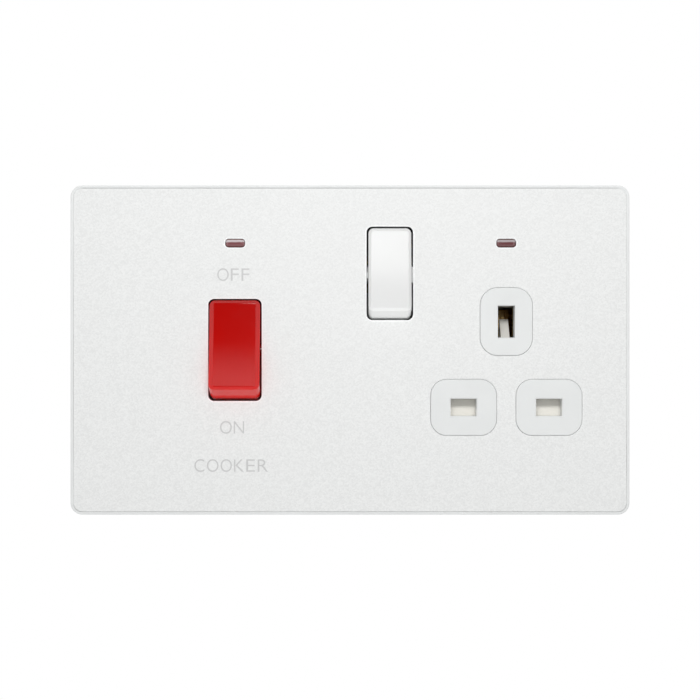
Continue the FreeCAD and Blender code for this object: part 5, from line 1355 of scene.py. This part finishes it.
@dataclass
class SlottedScrews:
    """Slotted screws with a chamfered head and a rolled thread, at the places of the CAD's screws."""

    finishes: Finishes
    nodes: tuple[tuple[str, float, float], ...] = (
        ("fixing_screws", 2.0 * MM, 1.75 * MM),
        ("cooker_base_screws", 1.6 * MM, 1.3 * MM),
        ("socket_base_screws", 1.6 * MM, 1.3 * MM),
        ("supply_terminal_screws", 2.2 * MM, 2.0 * MM),
        ("load_terminal_screws", 2.2 * MM, 2.0 * MM),
        ("earth_terminal_screws", 2.2 * MM, 2.0 * MM),
    )
    room_side: tuple[str, ...] = ("fixing_screws",)
    slot_width: float = 0.9 * MM
    slot_depth: float = 0.9 * MM
    pitch: float = 0.8 * MM
    ridge: float = 0.26 * MM
    seed: int = 7
    taper: Triple = (0.86, 0.86, 1.0)
    taper_start: float = 0.45
    blade_reach: float = 2.4
    threaded: float = 0.94
    thread_end: float = -0.97
    head_facets: int = 48
    head_rings: int = 4
    core_facets: int = 32
    turn_facets: int = 20
    ridge_facets: int = 6
    sharp: float = math.radians(35)

    def tree(self) -> NodeTree:
        """Node tree that grows a screw on each point, head up along Z from its seat."""
        tree = NodeTree("slotted_screw")
        for name in ("Head Radius", "Head Height", "Slot Width", "Slot Depth", "Shank Radius", "Length",
                     "Thread Pitch", "Ridge"):
            tree.size(name)
        tree.size("Seed", "NodeSocketInt")
        tree.size("Material", "NodeSocketMaterial")
        head = self.head(tree)
        shank = self.shank(tree)
        spin = tree.node("FunctionNodeRandomValue", {"data_type": "FLOAT"}, Seed=tree.given("Seed"))
        spin.inputs[2].default_value = 0.0
        spin.inputs[3].default_value = math.pi
        turn = tree.node("ShaderNodeCombineXYZ", Z=spin.outputs[1])
        points = tree.given("Geometry")
        heads = tree.node("GeometryNodeInstanceOnPoints", Points=points, Instance=head,
                          Rotation=turn.outputs[0])
        reach = tree.node("GeometryNodeInputNamedAttribute", {"data_type": "FLOAT"}, Name="stretch")
        stretch = tree.node("ShaderNodeCombineXYZ", X=1.0, Y=1.0, Z=reach.outputs["Attribute"])
        shanks = tree.node("GeometryNodeInstanceOnPoints", Points=points, Instance=shank,
                           Scale=stretch.outputs[0])
        tree.finish(tree.joined([heads.outputs[0], shanks.outputs[0]]), tree.given("Material"))
        return tree

    def head(self, tree: NodeTree) -> Socket:
        """Chamfered head with its slot, standing on the seat."""
        blank = tree.node("GeometryNodeMeshCylinder", Vertices=self.head_facets,
                          Side_Segments=self.head_rings, Radius=tree.given("Head Radius"),
                          Depth=tree.given("Head Height"))
        place = tree.node("GeometryNodeInputPosition").outputs[0]
        height = tree.node("ShaderNodeSeparateXYZ", Vector=place).outputs["Z"]
        limit = tree.maths("MULTIPLY", tree.given("Head Height"), self.taper_start)
        top = tree.maths("GREATER_THAN", height, limit)
        narrow = tree.node("ShaderNodeVectorMath", {"operation": "MULTIPLY"})
        tree.feed(narrow.inputs[0], place)
        narrow.inputs[1].default_value = self.taper
        tapered = tree.node("GeometryNodeSetPosition", Geometry=blank.outputs["Mesh"], Selection=top,
                            Position=narrow.outputs[0])
        half = tree.maths("MULTIPLY", tree.given("Head Height"), 0.5)
        standing = tree.upwards(tapered.outputs[0], half)
        width = tree.maths("MULTIPLY", tree.given("Head Radius"), self.blade_reach)
        deep = tree.maths("MULTIPLY", tree.given("Slot Depth"), 2.0)
        size = tree.node("ShaderNodeCombineXYZ", X=width, Y=tree.given("Slot Width"), Z=deep)
        blade = tree.node("GeometryNodeMeshCube", Size=size.outputs[0])
        raised = tree.upwards(blade.outputs["Mesh"], tree.given("Head Height"))
        cut = tree.node("GeometryNodeMeshBoolean", {"operation": "DIFFERENCE"})
        tree.feed(cut.inputs[0], standing)
        tree.feed(cut.inputs[1], raised)
        return cut.outputs[0]

    def shank(self, tree: NodeTree) -> Socket:
        """Core with a helical ridge round it, hanging from the seat."""
        core_r = tree.maths("SUBTRACT", tree.given("Shank Radius"), tree.given("Ridge"))
        core = tree.node("GeometryNodeMeshCylinder", Vertices=self.core_facets, Radius=core_r,
                         Depth=tree.given("Length"))
        drop = tree.maths("MULTIPLY", tree.given("Length"), -0.5)
        hanging = tree.upwards(core.outputs["Mesh"], drop)
        span = tree.maths("MULTIPLY", tree.given("Length"), self.threaded)
        turns = tree.maths("DIVIDE", span, tree.given("Thread Pitch"))
        helix = tree.node("GeometryNodeCurveSpiral", Resolution=self.turn_facets, Rotations=turns,
                          Start_Radius=core_r, End_Radius=core_r, Height=span)
        wire = tree.node("GeometryNodeCurvePrimitiveCircle", {"mode": "RADIUS"}, Resolution=self.ridge_facets,
                         Radius=tree.given("Ridge"))
        ridge = tree.node("GeometryNodeCurveToMesh", Curve=helix.outputs[0], Profile_Curve=wire.outputs[0],
                          Fill_Caps=True)
        lowest = tree.maths("MULTIPLY", tree.given("Length"), self.thread_end)
        return tree.joined([hanging, tree.upwards(ridge.outputs[0], lowest)])

    def build(self) -> list[Piece]:
        """Grow the screws of every node of screws."""
        tree = self.tree()
        return [self.screws_of(tree, *entry) for entry in self.nodes]

    def screws_of(self, tree: NodeTree, node: str, head_height: float, shank_r: float) -> Piece:
        """Screws that stand for one CAD node.

        Args:
            tree: the screw's node tree.
            node: name of the node.
            head_height: height of each head.
            shank_r: radius of each shank.

        Returns:
            The finished object.
        """
        side = -1 if node in self.room_side else 1
        turn = Matrix.Rotation(-side * math.pi / 2, 4, "X")
        solids = MeshWork.solids(node)
        lengths = []
        seats = []
        for low, high in solids:
            top = high.y if side > 0 else low.y
            lengths.append(high.y - low.y - head_height)
            middle = (low + high) / 2
            seat = Vector((middle.x, top - side * head_height, middle.z))
            seats.append(turn.inverted() @ seat)
        mesh = bpy.data.meshes.new(node + "_turned")
        mesh.from_pydata(seats, [], [])
        stretch = mesh.attributes.new("stretch", "FLOAT", "POINT")
        stretch.data.foreach_set("value", [length / max(lengths) for length in lengths])
        piece = MeshWork.added(mesh.name, mesh)
        low, high = solids[0]
        tree.grown(piece, {
            "Head Radius": (high.x - low.x) / 2, "Head Height": head_height,
            "Slot Width": self.slot_width, "Slot Depth": self.slot_depth, "Shank Radius": shank_r,
            "Length": max(lengths), "Thread Pitch": self.pitch, "Ridge": self.ridge, "Seed": self.seed,
            "Material": self.finishes.by_slot[Slot.SCREW],
        })
        piece.data.transform(turn)
        MeshWork.settle(piece, self.sharp)
        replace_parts(piece, node)
        return self.finishes.dress(piece, Slot.SCREW, ROOT)


class Carried:
    """CAD nodes that keep their form, with a smooth surface and a finish; coil springs get a mesh of their
    own.
    """

    moulded = (Slot.WHITE, Slot.HOUSING, Slot.PLUNGER, Slot.SHUTTER)
    coils = {
        "cooker_plunger_spring_live": "cooker_plunger_live_slide",
        "cooker_plunger_spring_neutral": "cooker_plunger_neutral_slide",
        "socket_plunger_spring": "socket_plunger_slide",
        "shutter_spring": "shutter_slide",
    }

    def __init__(self, finishes: Finishes, done: set[str]) -> None:
        """Remember the finishes and the nodes that other classes stand for.

        Args:
            finishes: the materials.
            done: nodes that are replaced already.
        """
        self.finishes = finishes
        self.done = done

    def build(self) -> list[Piece]:
        """Make the smooth copy of every node that is left."""
        slots = {part["node"]: Slot(part["material_slot"]) for part in frame["record"]["subparts"]}
        made = []
        for node in sorted(frame["nodes"]):
            if node in self.done:
                continue
            body = frame["nodes"][node]["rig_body"]
            angle = MOULDED_ANGLE if slots[node] in self.moulded else SHARP_ANGLE
            piece = self.finishes.dress(MeshWork.refined(node, angle), slots[node], body)
            if node in self.coils:
                self.squeeze(piece)
            made.append(piece)
        return made

    def squeeze(self, piece: Piece) -> None:
        """Give a coil spring a mesh of its own.

        Args:
            piece: the finished spring.
        """
        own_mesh(piece)


@dataclass(frozen=True)
class Softbox:
    """A rectangular lamp that faces a point of the unit from a direction."""

    name: str
    azimuth: float
    elevation: float
    distance: float
    width: float
    height: float
    radiance: float
    target: Triple = (0.0, 0.0, 0.0)

    def way(self) -> Vector:
        """Unit direction from the target to the lamp."""
        across = math.radians(self.azimuth)
        up = math.radians(self.elevation)
        return Vector((math.cos(up) * math.sin(across), -math.cos(up) * math.cos(across), math.sin(up)))

    def build(self) -> Piece:
        """Make the lamp; its power follows from its brightness and its size."""
        lamp = bpy.data.lights.new(self.name, "AREA")
        lamp.shape = "RECTANGLE"
        lamp.size = self.width
        lamp.size_y = self.height
        lamp.energy = math.pi * self.width * self.height * self.radiance
        source = MeshWork.added(self.name, lamp)
        source.location = Vector(self.target) + self.way() * self.distance
        source.rotation_euler = (-self.way()).to_track_quat("-Z", "Y").to_euler()
        return source


@dataclass
class Studio:
    """Pale floor, soft lamps, white surround and the camera."""

    camera_distance: float = 0.400
    lens_mm: float = 78.8
    sensor_mm: float = 36.0
    floor_drop: float = 0.21
    floor_radius: float = 0.62
    floor_facets: int = 96
    floor_tones: Pair = (0.86, 0.88)
    flag_tones: Pair = (0.02, 0.03)
    mottle_scale: float = 3.0
    ambient: float = 0.335
    flag_dark: float = 0.52
    flag_clear: float = 0.78
    flag_size: float = 0.6
    flag_place: Triple = (0.0, -1.4, 0.2)
    key: Softbox = Softbox("key_softbox", 0.0, 27.0, 0.52, 0.3, 0.09, 19.6)
    backs: tuple[Softbox, ...] = (
        Softbox("back_softbox_left", 150.0, 45.0, 0.8, 0.5, 0.35, 4.0),
        Softbox("back_softbox_right", 210.0, 45.0, 0.8, 0.5, 0.35, 4.0),
    )
    red_fills: tuple[Softbox, ...] = (
        Softbox("red_fill_below", 0.0, -60.0, 0.039, 0.014, 0.012, 18.0, (-0.03005, -0.0075, -0.0115)),
        Softbox("red_fill_left", -90.0, 0.0, 0.04, 0.012, 0.03, 7.5, (-0.03005, -0.0085, 0.0)),
        Softbox("red_fill_right", 90.0, 0.0, 0.04, 0.012, 0.03, 7.5, (-0.03005, -0.0085, 0.0)),
    )
    white_fills: tuple[Softbox, ...] = (
        Softbox("white_fill_below", 0.0, -60.0, 0.039, 0.014, 0.012, 13.5, (0.0104, -0.0075, 0.009)),
    )
    strip: Softbox = Softbox("centre_strip", 1.5, 13.5, 1.3, 0.13, 0.38, 5.5)
    glows: tuple[Softbox, ...] = (
        Softbox("left_glow", -4.3, 4.6, 1.2, 0.06, 0.06, 24.0),
        Softbox("right_glow", 5.3, 4.5, 1.2, 0.06, 0.06, 24.0),
    )

    def build(self, plate: Piece, levers: Sequence[Piece]) -> None:
        """Set up everything that isn't the object.

        Args:
            plate: the piece that the two small glows fall on.
            levers: the rockers, whose ends and borders small lamps fill.
        """
        bpy.context.scene.view_settings.view_transform = "Standard"
        self.place_camera()
        self.surround()
        self.floor()
        self.key.build().visible_glossy = False
        self.strip.build()
        for back in self.backs:
            back.build().visible_camera = False
        for glow in self.glows:
            self.lit_only(glow.build(), [plate])
        for fills, lever in zip((self.red_fills, self.white_fills), levers):
            for fill in fills:
                lamp = fill.build()
                lamp.visible_glossy = False
                lamp.visible_camera = False
                self.lit_only(lamp, [lever])
        self.flag()

    def lit_only(self, lamp: Piece, receivers: Sequence[Piece]) -> None:
        """Let a lamp fall on some pieces only."""
        group = bpy.data.collections.new(lamp.name + "_receivers")
        for piece in receivers:
            group.objects.link(piece)
        lamp.light_linking.receiver_collection = group

    def place_camera(self) -> None:
        """Camera straight in front of the plate's centre."""
        camera = MeshWork.added("camera", bpy.data.cameras.new("camera"))
        camera.data.lens = self.lens_mm
        camera.data.sensor_width = self.sensor_mm
        camera.data.clip_start = 0.01
        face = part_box("front_plate")[0].y
        camera.location = (0.0, face - self.camera_distance, 0.0)
        camera.rotation_euler = (math.pi / 2, 0.0, 0.0)
        bpy.context.scene.camera = camera

    def seen_as_white(self, graph: Graph) -> Socket:
        """Factor that is 1 for camera, glossy and transmission rays.

        Args:
            graph: nodes of the world.

        Returns:
            The factor.
        """
        path = graph.node("ShaderNodeLightPath")
        factor = path.outputs["Is Camera Ray"]
        for kind in ("Is Glossy Ray", "Is Transmission Ray"):
            factor = graph.maths("MAXIMUM", factor, path.outputs[kind])
        return factor

    def surround(self) -> None:
        """World that lights evenly and is seen as white."""
        world = bpy.data.worlds.new("surround")
        bpy.context.scene.world = world
        world.use_nodes = True
        world.node_tree.nodes.clear()
        graph = Graph(world.node_tree)
        mix = graph.node("ShaderNodeMixShader", Fac=self.seen_as_white(graph))
        for place, strength in ((1, self.ambient), (2, 1.0)):
            light = graph.node("ShaderNodeBackground", Color=(1.0, 1.0, 1.0, 1.0), Strength=strength)
            graph.feed(mix.inputs[place], light.outputs[0])
        graph.node("ShaderNodeOutputWorld", Surface=mix.outputs[0])

    def greys(self, tones: Pair) -> list[Triple]:
        """Neutral colours of two tones."""
        return [(tone, tone, tone) for tone in tones]

    def floor(self) -> None:
        """Pale floor below the unit, which is lit and takes its shadow."""
        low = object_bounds()[0]
        bm = bmesh.new()
        bmesh.ops.create_circle(bm, cap_ends=True, segments=self.floor_facets,
                                radius=self.floor_radius)
        disc = MeshWork.to_object(bm, "floor", outward=False)
        disc.location.z = low[2] - self.floor_drop
        shader = Shader("pale_floor")
        shader.set(Roughness=0.9, Specular_IOR_Level=0.1)
        shader.colour(shader.ramp(shader.noise(self.mottle_scale, 3.0), *self.greys(self.floor_tones)))
        disc.data.materials.append(shader.material)
        disc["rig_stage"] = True

    def flag(self) -> None:
        """Dark card round the camera with a soft upper edge, which only glossy surfaces reflect."""
        bm = bmesh.new()
        bmesh.ops.create_grid(bm, x_segments=1, y_segments=1, size=self.flag_size)
        card = MeshWork.to_object(bm, "camera_flag", outward=False)
        card.data.transform(Matrix.Translation(self.flag_place) @ Matrix.Rotation(math.pi / 2, 4, "X"))
        for kind in ("camera", "diffuse", "shadow", "transmission", "volume_scatter"):
            setattr(card, "visible_" + kind, False)
        shader = Shader("dark_card")
        shader.set(Roughness=1.0, Specular_IOR_Level=0.0)
        shader.colour(shader.ramp(shader.noise(self.mottle_scale), *self.greys(self.flag_tones)))
        fade = shader.along("Z", self.flag_dark, self.flag_clear)
        mix = shader.node("ShaderNodeMixShader", Fac=fade)
        clear = shader.node("ShaderNodeBsdfTransparent")
        shader.feed(mix.inputs[1], shader.surface.outputs["BSDF"])
        shader.feed(mix.inputs[2], clear.outputs["BSDF"])
        shader.feed(shader.output.inputs["Surface"], mix.outputs["Shader"])
        card.data.materials.append(shader.material)
        card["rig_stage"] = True


def rockers(finishes: Finishes) -> list[Rocker]:
    """The two rockers with their own sizes."""
    red = RockerSizes(
        width=13.2 * MM, face_r=13.67 * MM, face_angle=54.5, brow_r=13.955 * MM, brow_angle=57.7,
        skirt_r=13.42 * MM, throw=20.8, back_depth=4.0 * MM, stub_r=1.7 * MM, guides=(-3.6 * MM, 3.6 * MM),
        border=1.15 * MM)
    white = RockerSizes(
        width=11.2 * MM, face_r=12.2 * MM, face_angle=57.1, brow_r=12.58 * MM, brow_angle=60.6,
        skirt_r=12.3 * MM, throw=16.8, back_depth=3.6 * MM, stub_r=2.1 * MM, guides=(0.0,),
        border=0.75 * MM)
    return [
        Rocker(finishes, "cooker_rocker", Slot.RED_ROCKER, "cooker_rocker_tilt", red),
        Rocker(finishes, "socket_rocker", Slot.WHITE_ROCKER, "socket_rocker_tilt", white),
    ]


def main() -> None:
    """Build every sub-assembly in order and report each piece."""
    logging.basicConfig(level=logging.INFO, format="%(message)s")
    finishes = Finishes()
    made = FrontPlate(finishes).build()
    made += Legends(finishes).build()
    levers = [piece for rocker in rockers(finishes) for piece in rocker.build()]
    made += levers
    made += PivotBosses(finishes).build()
    for node in ("cooker_neon_lens", "socket_neon_lens"):
        made += NeonLens(finishes, node).build()
    made += SlottedScrews(finishes).build()
    done = {name for piece in made for name in piece.get("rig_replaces", [])}
    made += Carried(finishes, done).build()
    for piece in made:
        log.info("%s: %d faces", piece.name, len(piece.data.polygons))
    Studio().build(made[0], levers)


if __name__ == "__main__":
    main()
